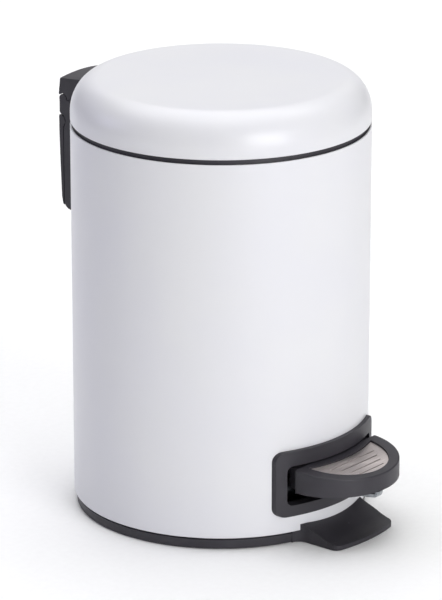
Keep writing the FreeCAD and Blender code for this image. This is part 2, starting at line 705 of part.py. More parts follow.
def lid_screws():
    screws = []
    for x, z in lid_screw_places():
        seat = math.sqrt((BODY_R - LINER_OUT - LINER_T) ** 2 - (abs(x) + SCREW_HEAD_R) ** 2)
        head = rod_y(SCREW_HEAD_R, seat - SCREW_HEAD_T, seat, x, z)
        shank = rod_y(SCREW_R, seat, BODY_R + 9, x, z)
        screws.append(head.fuse(shank).removeSplitter())
    return group(screws)


def lid_buffers():
    pads = []
    r = BODY_R - LINER_OUT - BUFFER_R + 0.1
    for degrees in (-90.0, 15.0, 165.0):
        x = r * math.cos(math.radians(degrees))
        y = r * math.sin(math.radians(degrees))
        pads.append(disc(BUFFER_R, COLLAR_TOP + 0.2, LID_Z0 + 1.1, y, x))
    return group(pads)


# ---------------------------------------------------------------- hinge cap, arm and pins

def hinge_cap():
    top = CAP_Z0 + CAP_RISE
    outline = [
        (LID_FLAT_R, CAP_Z0), (HINGE_Y, CAP_Z0), (REAR_Y + CAP_PROUD, CAP_Z0 + KNUCKLE_R),
        (REAR_Y + CAP_PROUD - CAP_LEAN, top - CAP_CORNER), (REAR_Y + CAP_PROUD - CAP_LEAN - 1.2, top + CAP_CROWN),
        (LID_FLAT_R, top + CAP_CROWN),
    ]
    block = prism_x(outline, -HOUSING_HALF_W, HOUSING_HALF_W)
    crown_r = (HOUSING_HALF_W ** 2 + CAP_CROWN ** 2) / (2 * CAP_CROWN)
    roof = rod_y(crown_r, -FAR, FAR, 0, -crown_r)
    roof.rotate(V(0, 0, 0), V(1, 0, 0), -CAP_SLOPE)
    roof.translate(V(0, BODY_R + 6, top + CAP_CROWN))
    block = block.common(roof)
    block = block.cut(lid_solid(0, LID_Z0 - 3)).cut(disc(BODY_R + 0.4, CAP_Z0 - 1, LID_Z0 + 0.1))
    barrel = rod_x(KNUCKLE_R, -KNUCKLE_HALF, KNUCKLE_HALF, HINGE_Y, HINGE_Z)
    for x0, x1 in ((-FAR, -KNUCKLE_HALF), (KNUCKLE_HALF, FAR)):
        block = block.cut(rod_x(KNUCKLE_R * math.sqrt(2), x0, x1, HINGE_Y, HINGE_Z))
    block = block.fuse(barrel)
    pocket_in = HOUSING_HALF_W - HOUSING_WALL
    pocket = box(-pocket_in, pocket_in, BODY_R + 2.6, HINGE_Y - KNUCKLE_R - 1.4, CAP_Z0 - 1, top - CAP_ROOF)
    block = block.cut(pocket)
    for x, z in lid_screw_places():
        block = block.fuse(rod_y(SCREW_R + 1.6, BODY_R + 1.5, HINGE_Y - KNUCKLE_R - 1.0, x, z))
    web = box(-CRANK_RIVET_HALF, CRANK_RIVET_HALF, BODY_R + 2, HINGE_Y, HINGE_Z + 2.0, top - CAP_ROOF + 0.5)
    block = block.fuse(web)
    arm_half = ARM_T / 2 + 0.05
    block = block.cut(box(-arm_half, arm_half, 0, HINGE_Y, CAP_Z0 - 6, top - CAP_ROOF + 0.6))
    block = block.cut(rod_x(KNUCKLE_R + 0.01, -arm_half, arm_half, HINGE_Y, HINGE_Z))
    block = block.cut(rod_x(HINGE_PIN_R + PIN_CLEAR, -HINGE_PIN_HALF, HINGE_PIN_HALF, HINGE_Y, HINGE_Z))
    y, z = crank_rivet_place()
    block = block.cut(rod_x(CRANK_RIVET_R, -CRANK_RIVET_HALF, CRANK_RIVET_HALF, y, z))
    return block.cut(lid_screw_holes(0)).removeSplitter()


def crank_rivet_place():
    return HINGE_Y - 8.0, HINGE_Z + 5.6


def crank_arm():
    half = ARM_T / 2
    eye = rod_x(KNUCKLE_R - 0.1, -half, half, HINGE_Y, HINGE_Z)
    elbow_y = HINGE_Y - ELBOW_Y
    elbow_z = HINGE_Z - ELBOW_Z
    leg = capsule_x(elbow_y, elbow_z, CRANK_LOW_Y, CRANK_Z, ARM_W / 2, -half, half)
    link = capsule_x(HINGE_Y, HINGE_Z, elbow_y, elbow_z, KNUCKLE_R - 0.1, -half, half)
    y, z = crank_rivet_place()
    tail = capsule_x(elbow_y, HINGE_Z - 2.0, y, z, 2 * CRANK_RIVET_R, -half, half)
    arm = eye.fuse([leg, link, tail]).removeSplitter()
    arm = arm.cut(rod_x(CRANK_PIN_R, -FAR, FAR, CRANK_LOW_Y, CRANK_Z))
    arm = arm.cut(rod_x(CRANK_RIVET_R, -FAR, FAR, y, z))
    return arm.cut(rod_x(HINGE_PIN_R + PIN_CLEAR, -FAR, FAR, HINGE_Y, HINGE_Z))


def crank_pin():
    return rod_x(CRANK_PIN_R, -HEAD_HALF_W, HEAD_HALF_W, CRANK_LOW_Y, CRANK_Z)


def crank_rivet():
    y, z = crank_rivet_place()
    return rod_x(CRANK_RIVET_R, -CRANK_RIVET_HALF, CRANK_RIVET_HALF, y, z)


def hinge_pin():
    pin = rod_x(HINGE_PIN_R, -HINGE_PIN_HALF, HINGE_PIN_HALF, HINGE_Y, HINGE_Z)
    return fillet_where(pin, 0.4, lambda e: e.Closed)


# ---------------------------------------------------------------- housing and handle

def housing_screw_places():
    return [(x, z) for x in (-10.0, 10.0) for z in (HOUSING_Z0 + 12.0, HOUSING_Z0 + 42.0)]


def hinge_bracket():
    w = HOUSING_HALF_W
    seat = HANDLE_SEAT_Y
    outline = [
        (BODY_R - 6, HOUSING_Z0), (REAR_Y - 8.1, HOUSING_Z0), (REAR_Y - 4.4, HOUSING_Z0 + 1.4), (seat, HOUSING_Z0 + 4.0),
        (seat, HANDLE_TOP + GAP), (REAR_Y - 1.0, HANDLE_TOP + 0.6), (REAR_Y, HANDLE_TOP + 1.8),
        (REAR_Y, HOUSING_TOP), (BODY_R - 6, HOUSING_TOP),
    ]
    block = prism_x(outline, -w, w)
    block = block.cut(disc(BODY_R + 0.02, 0, TOTAL_H))
    pivot_half = w - HANDLE_ARM_W - GAP
    block = block.cut(rod_x(HANDLE_BOSS_R + GAP, -w - 1, w + 1, HANDLE_Y, HANDLE_PIVOT_Z))
    pivot = prism_x(
        [(seat - 1.5, HANDLE_PIVOT_Z - 7), (REAR_Y - 0.2, HANDLE_PIVOT_Z - 2.0), (REAR_Y, HANDLE_TOP + 3),
         (seat - 1.5, HANDLE_TOP + 3)], -pivot_half, pivot_half,
    )
    block = block.fuse([pivot, rod_x(HANDLE_BARREL_R, -pivot_half, pivot_half, HANDLE_Y, HANDLE_PIVOT_Z)])
    room_in = w - HOUSING_WALL
    room = box(-room_in, room_in, BODY_R - 8, seat - HOUSING_WALL, HOUSING_Z0 + HOUSING_WALL, HOUSING_TOP + 1)
    block = block.cut(room)
    barrels = []
    for x0, x1 in ((-w, -KNUCKLE_HALF - 0.2), (KNUCKLE_HALF + 0.2, w)):
        barrels.append(rod_x(KNUCKLE_R, x0, x1, HINGE_Y, HINGE_Z))
        barrels.append(box(x0, x1, HINGE_Y - KNUCKLE_R, HINGE_Y + KNUCKLE_R, HOUSING_TOP - 6, HOUSING_TOP))
    relief = rod_x(KNUCKLE_R + GAP + 0.4, -KNUCKLE_HALF - 0.2, KNUCKLE_HALF + 0.2, HINGE_Y, HINGE_Z)
    block = block.cut(relief).fuse(barrels)
    for x, z in housing_screw_places():
        block = block.fuse(rod_y(SCREW_R + 1.8, BODY_R - 1.0, seat - 1, x, z).cut(disc(BODY_R + 0.02, 0, TOTAL_H)))
    for x, z in housing_screw_places():
        block = block.cut(rod_y(SCREW_R - 0.1, BODY_R - 9, BODY_R + 10, x, z))
    block = block.cut(rod_x(HINGE_PIN_R, -HINGE_PIN_HALF, HINGE_PIN_HALF, HINGE_Y, HINGE_Z))
    block = block.cut(rod_x(HANDLE_PIN_R + PIN_CLEAR, -FAR, FAR, HANDLE_Y, HANDLE_PIVOT_Z))
    slot_half = ARM_T / 2 + ARM_SIDE_GAP
    block = block.cut(box(-slot_half, slot_half, 0, HINGE_Y + 0.6, HINGE_Z - 7.4, HOUSING_TOP + 1))
    return block.removeSplitter()


def backing_plate():
    z0 = HOUSING_Z0 + 6.0
    z1 = HOUSING_Z0 + 48.0
    plate = ring(SHELL_IN - 0.02, SHELL_IN - 1.5, z0, z1).common(box(-15, 15, 0, BODY_R, z0, z1))
    for x, z in housing_screw_places():
        plate = plate.cut(rod_y(SCREW_R + LOOSE, BODY_R / 2, BODY_R, x, z))
    half = HEAD_HALF_W + 1.0
    return plate.cut(box(-half, half, 0, BODY_R, CRANK_Z - ROD_HEAD_DROP - 1.0, z1 + 1))


def housing_screws():
    screws = []
    for x, z in housing_screw_places():
        seat = math.sqrt((SHELL_IN - 1.5) ** 2 - (abs(x) + SCREW_HEAD_R) ** 2)
        head = rod_y(SCREW_HEAD_R, seat - SCREW_HEAD_T, seat, x, z)
        shank = rod_y(SCREW_R - 0.1, seat, BODY_R + 10, x, z)
        screws.append(head.fuse(shank).removeSplitter())
    return group(screws)


def carry_handle():
    w = HOUSING_HALF_W
    z0 = HOUSING_Z0 + HANDLE_END_Z
    face = HANDLE_SEAT_Y + GAP
    rear = REAR_Y + HANDLE_PROUD
    outline = [
        (face, z0), (face + 0.8, z0), (face + 1.4, z0 + 4.0), (rear - 0.4, z0 + 29.0), (rear, HANDLE_PIVOT_Z - 5.6),
        (rear, HANDLE_PIVOT_Z), (face, HANDLE_PIVOT_Z),
    ]
    strap = prism_x(outline, -w, w)
    boss = rod_x(HANDLE_BOSS_R, -w, w, HANDLE_Y, HANDLE_PIVOT_Z)
    strap = strap.fuse(boss.cut(box(-w - 1, w + 1, rear, rear + 9, z0, HANDLE_TOP + 9)))
    inner = w - HANDLE_ARM_W
    window = rounded_prism_y(inner, z0 + HANDLE_BAR_H, HANDLE_TOP + 12, 4.0, BODY_R, REAR_Y + 5)
    strap = strap.cut(window)
    return strap.cut(rod_x(HANDLE_PIN_R, -w + 1.2, w - 1.2, HANDLE_Y, HANDLE_PIVOT_Z)).removeSplitter()


def handle_pins():
    w = HOUSING_HALF_W
    inner = w - HANDLE_ARM_W - 4.0
    return group([rod_x(HANDLE_PIN_R, x, x + w - 1.2 - inner, HANDLE_Y, HANDLE_PIVOT_Z) for x in (-w + 1.2, inner)])


# ---------------------------------------------------------------- bucket

def inner_bucket():
    top = RIM_Z0 + RIM_T
    outline = [
        (0, BUCKET_Z0), (BUCKET_FOOT_R - 4, BUCKET_Z0), (BUCKET_FOOT_R, BUCKET_Z0 + 4), (BUCKET_TOP_R, RIM_Z0),
        (RIM_R, RIM_Z0), (RIM_R, top), (BUCKET_TOP_R - BUCKET_WALL, top),
        (BUCKET_FOOT_R - BUCKET_WALL, BUCKET_Z0 + 4.6), (BUCKET_FOOT_R - BUCKET_WALL - 3.6, BUCKET_Z0 + BUCKET_WALL),
        (0, BUCKET_Z0 + BUCKET_WALL),
    ]
    bucket = turned(outline)
    lug_r = BAIL_WIRE_R + 1.6
    lug_x = BAIL_R - BAIL_WIRE_R - 0.6
    for s in (-1, 1):
        x0 = min(s * lug_x, s * (lug_x - LUG_W))
        lug = capsule_x(0, top - 2.2, 0, BAIL_Z, lug_r, x0, x0 + LUG_W)
        root0 = min(s * (lug_x - LUG_W), s * (BUCKET_TOP_R - 0.6))
        root = box(root0, root0 + BUCKET_TOP_R - 0.6 - lug_x + LUG_W, -lug_r, lug_r, top - 5.0, top - 0.1)
        bucket = bucket.fuse([lug, root])
    bucket = bucket.cut(rod_x(BAIL_WIRE_R + PIN_CLEAR, -BAIL_R, BAIL_R, 0, BAIL_Z)).removeSplitter()
    bucket.translate(V(0, BUCKET_SHIFT, 0))
    return bucket


def bail_arc(wire_r, half_degrees):
    """A round bar bent along the rim's front half, to half_degrees either side of the middle."""
    start = math.radians(-90 - half_degrees)
    section = Part.Face(Part.Wire(Part.Circle(V(BAIL_R, 0, 0), V(0, 1, 0), wire_r).toShape()))
    bar = section.revolve(V(0, 0, 0), V(0, 0, 1), 2 * half_degrees)
    bar.rotate(V(0, 0, 0), V(0, 0, 1), math.degrees(start))
    bar.translate(V(0, BUCKET_SHIFT, BAIL_Z))
    return bar


def bucket_bail():
    bail = bail_arc(BAIL_WIRE_R, 90)
    inner = BAIL_R - BAIL_WIRE_R - 0.6 - LUG_W - 1.6
    for x0, x1 in ((-BAIL_R, -inner), (inner, BAIL_R)):
        bail = bail.fuse(rod_x(BAIL_WIRE_R, x0, x1, BUCKET_SHIFT, BAIL_Z))
        end = -BAIL_R if x0 < 0 else BAIL_R
        bail = bail.fuse(Part.makeSphere(BAIL_WIRE_R, V(end, BUCKET_SHIFT, BAIL_Z)))
    return bail.removeSplitter()


def bail_grip():
    grip_r = BAIL_WIRE_R + GRIP_WALL
    bar = bail_arc(grip_r, GRIP_HALF_ANGLE)
    keep = box(-BODY_R, BODY_R, -BODY_R - 5, BODY_R, RIM_Z0 + RIM_T + GAP - 0.1, BAIL_Z + 2 * grip_r)
    return bar.common(keep).cut(bail_arc(BAIL_WIRE_R, GRIP_HALF_ANGLE + 3))


PIECES = [
    body_shell, top_collar, base_tray, anti_slip_disc, stabiliser_foot, pedal_bezel, axle_bracket, bracket_rivets,
    lever_axle, lever_bush, pedal_cap, pedal_plate, pedal_lever, pedal_screws, push_rod, rod_foot, rod_head,
    rod_guides, lid_shell, lid_liner, lid_screws, lid_buffers, hinge_cap, crank_arm, crank_pin, crank_rivet,
    hinge_pin, hinge_bracket, backing_plate, housing_screws, carry_handle, handle_pins, inner_bucket, bucket_bail,
    bail_grip,
]

for piece in PIECES:
    save(piece.__name__, piece())
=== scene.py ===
"""Looks of a round pedal bin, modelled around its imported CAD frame.

Sizes in this file are millimetres, and MM turns them to Blender's metres. Places come from the frame's boxes and
joints. The pedal points to -Y and the hinge to +Y.
"""

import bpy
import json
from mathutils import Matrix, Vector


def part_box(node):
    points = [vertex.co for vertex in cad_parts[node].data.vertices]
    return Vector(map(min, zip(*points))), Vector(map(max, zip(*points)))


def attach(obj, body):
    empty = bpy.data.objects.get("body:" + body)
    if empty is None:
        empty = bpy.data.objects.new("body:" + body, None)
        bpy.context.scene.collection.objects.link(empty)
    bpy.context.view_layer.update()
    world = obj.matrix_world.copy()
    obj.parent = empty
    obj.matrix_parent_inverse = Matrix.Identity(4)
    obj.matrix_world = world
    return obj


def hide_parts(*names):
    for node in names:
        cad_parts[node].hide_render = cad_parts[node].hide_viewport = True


bl_info = {
    "name": "Pedal bin",
    "version": (1, 0, 0),
    "blender": (4, 5, 0),
    "location": "View3D > Sidebar > Pedal bin",
    "description": "Models the shells, mouldings and finishes of a round pedal bin",
    "category": "Add Mesh",
}

import bmesh
import bpy
import json
import math
from mathutils import Matrix, Vector

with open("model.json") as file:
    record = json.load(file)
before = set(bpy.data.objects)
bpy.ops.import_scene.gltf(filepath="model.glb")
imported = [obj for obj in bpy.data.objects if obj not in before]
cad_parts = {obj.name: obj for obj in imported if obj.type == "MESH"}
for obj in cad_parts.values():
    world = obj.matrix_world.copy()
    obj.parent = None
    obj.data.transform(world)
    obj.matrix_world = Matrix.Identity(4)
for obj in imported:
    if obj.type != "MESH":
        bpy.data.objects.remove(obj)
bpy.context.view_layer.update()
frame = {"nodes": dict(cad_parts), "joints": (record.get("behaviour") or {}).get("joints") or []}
MM = 0.001
ROUND = 192


def span(node):
    """Lowest and highest corner of a CAD node, in millimetres."""
    low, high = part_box(node)
    return low / MM, high / MM


def pivot(joint):
    """The place of a hinge joint, in millimetres."""
    for entry in frame["joints"]:
        if entry["name"] == joint:
            return Vector(entry["pos_m"]) / MM
    raise RuntimeError(f"the frame has no joint {joint}")


# Driving places, read from the frame
SHELL_LOW, SHELL_HIGH = span("body_shell")
COLLAR_LOW, COLLAR_HIGH = span("top_collar")
LID_LOW, LID_HIGH = span("lid_shell")
LINING_LOW, LINING_HIGH = span("lid_liner")
TRAY_LOW, TRAY_HIGH = span("base_tray")
PAD_HIGH = span("anti_slip_disc")[1]
FOOT_LOW, FOOT_HIGH = span("stabiliser_foot")
BEZEL_LOW, BEZEL_HIGH = span("pedal_bezel")
PEDAL_LOW, PEDAL_HIGH = span("pedal_cap")
PLATE_LOW, PLATE_HIGH = span("pedal_plate")
LEVER_LOW, LEVER_HIGH = span("pedal_lever")
HOUSING_LOW, HOUSING_HIGH = span("hinge_bracket")
CAP_HIGH = span("hinge_cap")[1]
HANDLE_LOW, HANDLE_HIGH = span("carry_handle")
BUCKET_LOW, BUCKET_HIGH = span("inner_bucket")
HINGE = pivot("lid_hinge")
HANDLE_AXIS = pivot("handle_pivot")
LEVER_AXIS = pivot("pedal_pivot")
BAIL_AXIS = pivot("bail_pivot")

# Sizes that several pieces share
BODY_R = SHELL_HIGH.x
STEEL = 0.8
SHELL_IN = BODY_R - STEEL
REAR_Y = HINGE.y + 2.6
KNUCKLE_R = REAR_Y - HINGE.y
WALL_TOP = LID_LOW.z + 4.7
SHOULDER_W = 16.0
LID_CROWN = 1.0
BUCKET_Y = BAIL_AXIS.y
RIM_W = 2.7
BAIL_RING_R = BUCKET_HIGH.x - RIM_W
BAIL_WIRE_R = 1.4
LUG_W = 3.5
BOSS_R = 3.6
MOULDED_WALL = 2.2
STRAP_W = 5.4
ARM_SLOT_HALF = 2.5
INLAY_GAP = 6.4
PLATE_STEEL = 0.8
ROD_STEPS = 48

# Points of a turned shape closer than this are one point
WELD = 0.002


# --- selecting and editing

def only(piece):
    """Leaves one object selected and active, in object mode."""
    if bpy.context.mode != "OBJECT":
        bpy.ops.object.mode_set(mode="OBJECT")
    bpy.ops.object.select_all(action="DESELECT")
    piece.select_set(True)
    bpy.context.view_layer.objects.active = piece


def edit(piece):
    """Opens one object in edit mode with all of it selected."""
    only(piece)
    bpy.ops.object.mode_set(mode="EDIT")
    bpy.ops.mesh.select_all(action="SELECT")


def close_edit():
    """Goes back to object mode."""
    bpy.ops.object.mode_set(mode="OBJECT")


def pick(piece, kind, test):
    """In edit mode, selects only those vertices, edges or faces for which test is true."""
    bpy.ops.mesh.select_mode(type=kind)
    bpy.ops.mesh.select_all(action="DESELECT")
    mesh = bmesh.from_edit_mesh(piece.data)
    parts = {"VERT": mesh.verts, "EDGE": mesh.edges, "FACE": mesh.faces}[kind]
    for part in parts:
        if test(part):
            part.select_set(True)
    mesh.select_flush_mode()
    bmesh.update_edit_mesh(piece.data)


def every(part, test):
    """True when test holds for each vertex of an edge or face, given in millimetres."""
    return all(test(corner.co / MM) for corner in part.verts)


def apply_modifier(piece, kind, **values):
    """Adds a modifier, sets it and applies it."""
    only(piece)
    bpy.ops.object.modifier_add(type=kind)
    modifier = piece.modifiers[-1]
    for key, value in values.items():
        setattr(modifier, key, value)
    bpy.ops.object.modifier_apply(modifier=modifier.name)


def combine(piece, tool, how):
    """Cuts (DIFFERENCE), joins (UNION) or keeps the shared part (INTERSECT) of two solids, and removes the tool."""
    apply_modifier(piece, "BOOLEAN", operation=how, solver="EXACT", object=tool)
    bpy.data.objects.remove(tool)
    if not piece.data.polygons:
        raise RuntimeError(f"{piece.name} has nothing left after {how}")
    return piece


def cut(piece, *tools):
    """Cuts solids out of a piece."""
    for tool in tools:
        combine(piece, tool, "DIFFERENCE")
    return piece


def add_to(piece, *tools):
    """Makes a piece and other solids one."""
    for tool in tools:
        combine(piece, tool, "UNION")
    return piece


def tidy(piece):
    """Merges doubled points and joins flat fragments that a cut leaves."""
    edit(piece)
    bpy.ops.mesh.remove_doubles(threshold=0.02 * MM)
    bpy.ops.mesh.dissolve_limited(angle_limit=math.radians(0.2), delimit={"NORMAL"})
    close_edit()


def soften(piece, width, segments=3, angle=35.0, join_flats=True):
    """Rounds the sharp edges by width, as a mould or a press leaves them, and shades the piece smooth."""
    if join_flats:
        tidy(piece)
    apply_modifier(
        piece, "BEVEL", width=width * MM, segments=segments, limit_method="ANGLE", angle_limit=math.radians(angle),
        miter_outer="MITER_ARC", use_clamp_overlap=True,
    )
    shade(piece)


def shade(piece, angle=32.0):
    """Shades a piece smooth, but for edges sharper than the angle."""
    only(piece)
    bpy.ops.object.shade_smooth_by_angle(angle=math.radians(angle))
    apply_modifier(piece, "WEIGHTED_NORMAL", keep_sharp=True, weight=50)


# --- shapes

def arc(centre_a, centre_b, radius, start, end, steps, radius_b=None):
    """Points of a circular or elliptical arc in a plane, angles in degrees."""
    radius_b = radius if radius_b is None else radius_b
    points = []
    for i in range(steps + 1):
        angle = math.radians(start + (end - start) * i / steps)
        points.append((centre_a + radius * math.cos(angle), centre_b + radius_b * math.sin(angle)))
    return points


def eased(points, radius, steps=3):
    """The closed outline of points with each corner rounded by radius, or less where its edges are short."""
    result = []
    count = len(points)
    for i, point in enumerate(points):
        here = Vector(point)
        back = Vector(points[i - 1]) - here
        ahead = Vector(points[(i + 1) % count]) - here
        turn = math.pi - back.angle(ahead)
        if turn < math.radians(12):
            result.append(tuple(here))
            continue
        reach = min(radius * math.tan(turn / 2), 0.45 * back.length, 0.45 * ahead.length)
        start = here + back.normalized() * reach
        end = here + ahead.normalized() * reach
        for k in range(steps + 1):
            t = k / steps
            result.append(tuple(start * (1 - t) ** 2 + here * 2 * t * (1 - t) + end * t ** 2))
    return result


def bent(line, radius, steps):
    """An open line of points with its inner corners rounded."""
    # A far point closes the line for eased, and what lies towards it is dropped again.
    far = 500.0
    loop = eased(line + [(line[0][0] + line[-1][0], far)], radius, steps)
    inner = [point for point in loop if point[1] < far / 5]
    ends = steps + 1
    return [line[0]] + inner[ends - 1:1 - ends] + [line[-1]]


def placed(name):
    """The primitive just added, named, with its place in its mesh."""
    piece = bpy.context.object
    piece.name = name
    bpy.ops.object.transform_apply(location=True, rotation=True, scale=True)
    return piece


def closed_up():
    """In edit mode, welds the seam that a turned shape has, turns all faces outwards and leaves edit mode."""
    bpy.ops.mesh.select_mode(type="VERT")
    bpy.ops.mesh.select_all(action="SELECT")
    bpy.ops.mesh.remove_doubles(threshold=WELD * MM)
    bpy.ops.mesh.normals_make_consistent(inside=False)
    close_edit()


def turned(name, profile, y=0.0, segments=ROUND):
    """A solid turned about an upright axis from an (r, z) profile that runs round its section.

    A profile that starts and ends on the axis is closed there by a pole; any other is closed on itself.
    """
    poled = profile[0][0] == 0
    rings = profile[1:-1] if poled else profile + [profile[0]]
    radius, height = rings[0]
    bpy.ops.object.select_all(action="DESELECT")
    bpy.ops.mesh.primitive_circle_add(vertices=segments, radius=radius * MM, location=(0, y * MM, height * MM))
    piece = placed(name)
    edit(piece)

    def off_axis(v):
        return math.hypot(v.co.x, v.co.y - y * MM)

    def close_with_pole(ring_z, pole_z):
        bpy.ops.mesh.edge_face_add()
        bpy.ops.mesh.poke()
        if abs(pole_z - ring_z) > 1e-6:
            pick(piece, "VERT", lambda v: off_axis(v) < 1e-7 and abs(v.co.z - ring_z * MM) < 1e-6)
            bpy.ops.transform.translate(value=(0, 0, (pole_z - ring_z) * MM))

    if poled:
        close_with_pole(height, profile[0][1])
        pick(piece, "EDGE", lambda e: all(off_axis(v) > 0.5 * radius * MM for v in e.verts))
    bpy.ops.mesh.select_mode(type="EDGE")
    for next_radius, next_height in rings[1:]:
        bpy.ops.mesh.extrude_edges_move(TRANSFORM_OT_translate={"value": (0, 0, (next_height - height) * MM)})
        scale = next_radius / radius
        bpy.ops.transform.resize(value=(scale, scale, 1), center_override=(0, y * MM, 0))
        radius, height = next_radius, next_height
    if poled:
        close_with_pole(height, profile[-1][1])
    closed_up()
    return piece


def drawn(name, points, filled=True):
    """A flat face, or only its open line, drawn point by point in millimetres."""
    places = [Vector(point) * MM for point in points]
    bpy.ops.object.select_all(action="DESELECT")
    bpy.ops.mesh.primitive_plane_add(size=MM, location=places[0])
    piece = placed(name)
    edit(piece)
    bpy.ops.mesh.select_mode(type="VERT")
    bpy.ops.mesh.merge(type="CENTER")
    for here, there in zip(places, places[1:]):
        bpy.ops.mesh.extrude_vertices_move(TRANSFORM_OT_translate={"value": there - here})
    if filled:
        bpy.ops.mesh.select_all(action="SELECT")
        bpy.ops.mesh.edge_face_add()
    close_edit()
    return piece


def prism(name, points, run):
    """A solid whose flat outline, drawn by 3-D points in millimetres, runs along a vector."""
    piece = drawn(name, points)
    edit(piece)
    bpy.ops.mesh.select_mode(type="FACE")
    bpy.ops.mesh.select_all(action="SELECT")
    bpy.ops.mesh.extrude_region_move(TRANSFORM_OT_translate={"value": Vector(run) * MM})
    bpy.ops.mesh.select_all(action="SELECT")
    bpy.ops.mesh.normals_make_consistent(inside=False)
    close_edit()
    return piece


def side_prism(name, outline, x0, x1):
    """A solid whose (y, z) outline runs from x0 to x1."""
    return prism(name, [(x0, y, z) for y, z in outline], (x1 - x0, 0, 0))


def plan_prism(name, outline, z0, z1):
    """A solid whose (x, y) outline runs from z0 up to z1."""
    return prism(name, [(x, y, z0) for x, y in outline], (0, 0, z1 - z0))


def front_prism(name, outline, y0, y1):
    """A solid whose (x, z) outline runs from y0 to y1."""
    return prism(name, [(x, y0, z) for x, z in outline], (0, y1 - y0, 0))


def block(name, x0, x1, y0, y1, z0, z1):
    """A box between two places on each axis."""
    return plan_prism(name, [(x0, y0), (x1, y0), (x1, y1), (x0, y1)], z0, z1)


def rod(name, radius, start, end, segments=ROD_STEPS):
    """A round bar between two points."""
    start, end = Vector(start), Vector(end)
    bpy.ops.object.select_all(action="DESELECT")
    bpy.ops.mesh.primitive_cylinder_add(vertices=segments, radius=radius * MM, depth=(end - start).length * MM)
    turn = (end - start).to_track_quat("Z", "Y").to_matrix().to_4x4()
    bpy.context.object.matrix_world = Matrix.Translation((start + end) / 2 * MM) @ turn
    return placed(name)


def cross_rod(name, radius, x0, x1, y, z, segments=ROD_STEPS):
    """A round bar that runs across the bin from x0 to x1."""
    return rod(name, radius, (x0, y, z), (x1, y, z), segments)


def drum(name, radius, z0, z1, y=0.0, segments=ROUND):
    """An upright round solid."""
    return rod(name, radius, (0, y, z0), (0, y, z1), segments)


def rounded_window(half_w, z0, z1, radius, steps=8):
    """The (x, z) outline of a window with round corners."""
    outline = []
    corners = ((half_w, z0, -90), (half_w, z1, 0), (-half_w, z1, 90), (-half_w, z0, 180))
    for x, z, start in corners:
        cx = x - math.copysign(radius, x)
        cz = z0 + radius if z == z0 else z1 - radius
        outline += arc(cx, cz, radius, start, start + 90, steps)
    return outline


def slice_off(piece, place, normal):
    """Removes what lies beyond a plane, on the side its normal points to, and closes the cut."""
    edit(piece)
    bpy.ops.mesh.bisect(plane_co=Vector(place) * MM, plane_no=normal, use_fill=True, clear_outer=True)
    close_edit()


def join(piece, *others):
    """Puts the meshes of other objects into a piece, as separate shells."""
    only(piece)
    for other in others:
        other.select_set(True)
    bpy.ops.object.join()
    return piece


def finished(piece, name, material, body, slot, *nodes):
    """Names a piece, gives it its finish, and sets it on its CAD body in place of its nodes."""
    piece.name = name
    piece.data.name = name
    piece.data.materials.clear()
    piece.data.materials.append(material)
    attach(piece, body)
    if nodes:
        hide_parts(*nodes)
    return piece


def moulded(piece, name, body, node):
    """Finishes a piece in black polypropylene."""
    return finished(piece, name, finish(moulded_polypropylene_black), body, "black_plastic", node)


# --- finishes

def linear(code):
    """Turns an sRGB hex value to the linear colour that a shader takes."""
    parts = [int(code[i:i + 2], 16) / 255 for i in (1, 3, 5)]
    return tuple(c / 12.92 if c <= 0.04045 else ((c + 0.055) / 1.055) ** 2.4 for c in parts) + (1.0,)


def set_inputs(tree, node, inputs):
    """Sets a node's inputs, and links those whose value is another node's socket."""
    for socket, value in inputs.items():
        if isinstance(value, bpy.types.NodeSocket):
            tree.links.new(value, node.inputs[socket])
        else:
            node.inputs[socket].default_value = value


def add_node(tree, kind, inputs, stops=()):
    """Adds one shader node with its inputs set or linked, and moves its colour stops if it has any."""
    node = tree.nodes.new(kind)
    for i, (position, tone) in enumerate(stops):
        node.color_ramp.elements[i].position = position
        node.color_ramp.elements[i].color = tone
    set_inputs(tree, node, inputs)
    return node


def new_finish(name, **values):
    """An empty material with one Principled shader, and the piece's own coordinates."""
    material = bpy.data.materials.new(name)
    material.use_nodes = True
    tree = material.node_tree
    tree.nodes.clear()
    inputs = {key.replace("_", " "): value for key, value in values.items()}
    shader = add_node(tree, "ShaderNodeBsdfPrincipled", inputs)
    add_node(tree, "ShaderNodeOutputMaterial", {"Surface": shader.outputs["BSDF"]})
    where = add_node(tree, "ShaderNodeTexCoord", {}).outputs["Object"]
    return material, tree, shader, where


def size_to_scale(size_mm):
    """The noise scale whose grains are about that many millimetres across."""
    return 1.0 / (size_mm * MM)


def drive(tree, shader, tones, sheen=None, bump=None):
    """Lets the last nodes of a finish drive its shader's colour, roughness and normal."""
    sockets = {"Base Color": tones.outputs["Color"]}
    if sheen:
        sockets["Roughness"] = sheen.outputs["Result"]
    if bump:
        sockets["Normal"] = bump.outputs["Normal"]
    set_inputs(tree, shader, sockets)


def powder_coated_steel():
    """Powder coated steel: electrostatic powder, baked. Satin, with a faint orange peel and a trace of cloudiness."""
    look = settings()
    material, tree, shader, where = new_finish(
        "powder_coated_steel", Roughness=0.36, IOR=1.5, Coat_Weight=0.12, Coat_Roughness=0.22
    )
    cloud = add_node(tree, "ShaderNodeTexNoise", {"Vector": where, "Scale": size_to_scale(55.0), "Detail": 2.0})
    peel = add_node(tree, "ShaderNodeTexNoise", {"Vector": where, "Scale": size_to_scale(1.3), "Detail": 3.0})
    tones = add_node(
        tree, "ShaderNodeValToRGB", {"Fac": cloud.outputs["Fac"]},
        [(0.35, look.coat_shade), (0.65, look.coat)],
    )
    sheen = add_node(tree, "ShaderNodeMapRange", {"Value": peel.outputs["Fac"], "To Min": 0.30, "To Max": 0.42})
    bump = add_node(
        tree, "ShaderNodeBump", {"Strength": look.orange_peel, "Distance": 0.012 * MM, "Height": peel.outputs["Fac"]},
    )
    drive(tree, shader, tones, sheen, bump)
    return material


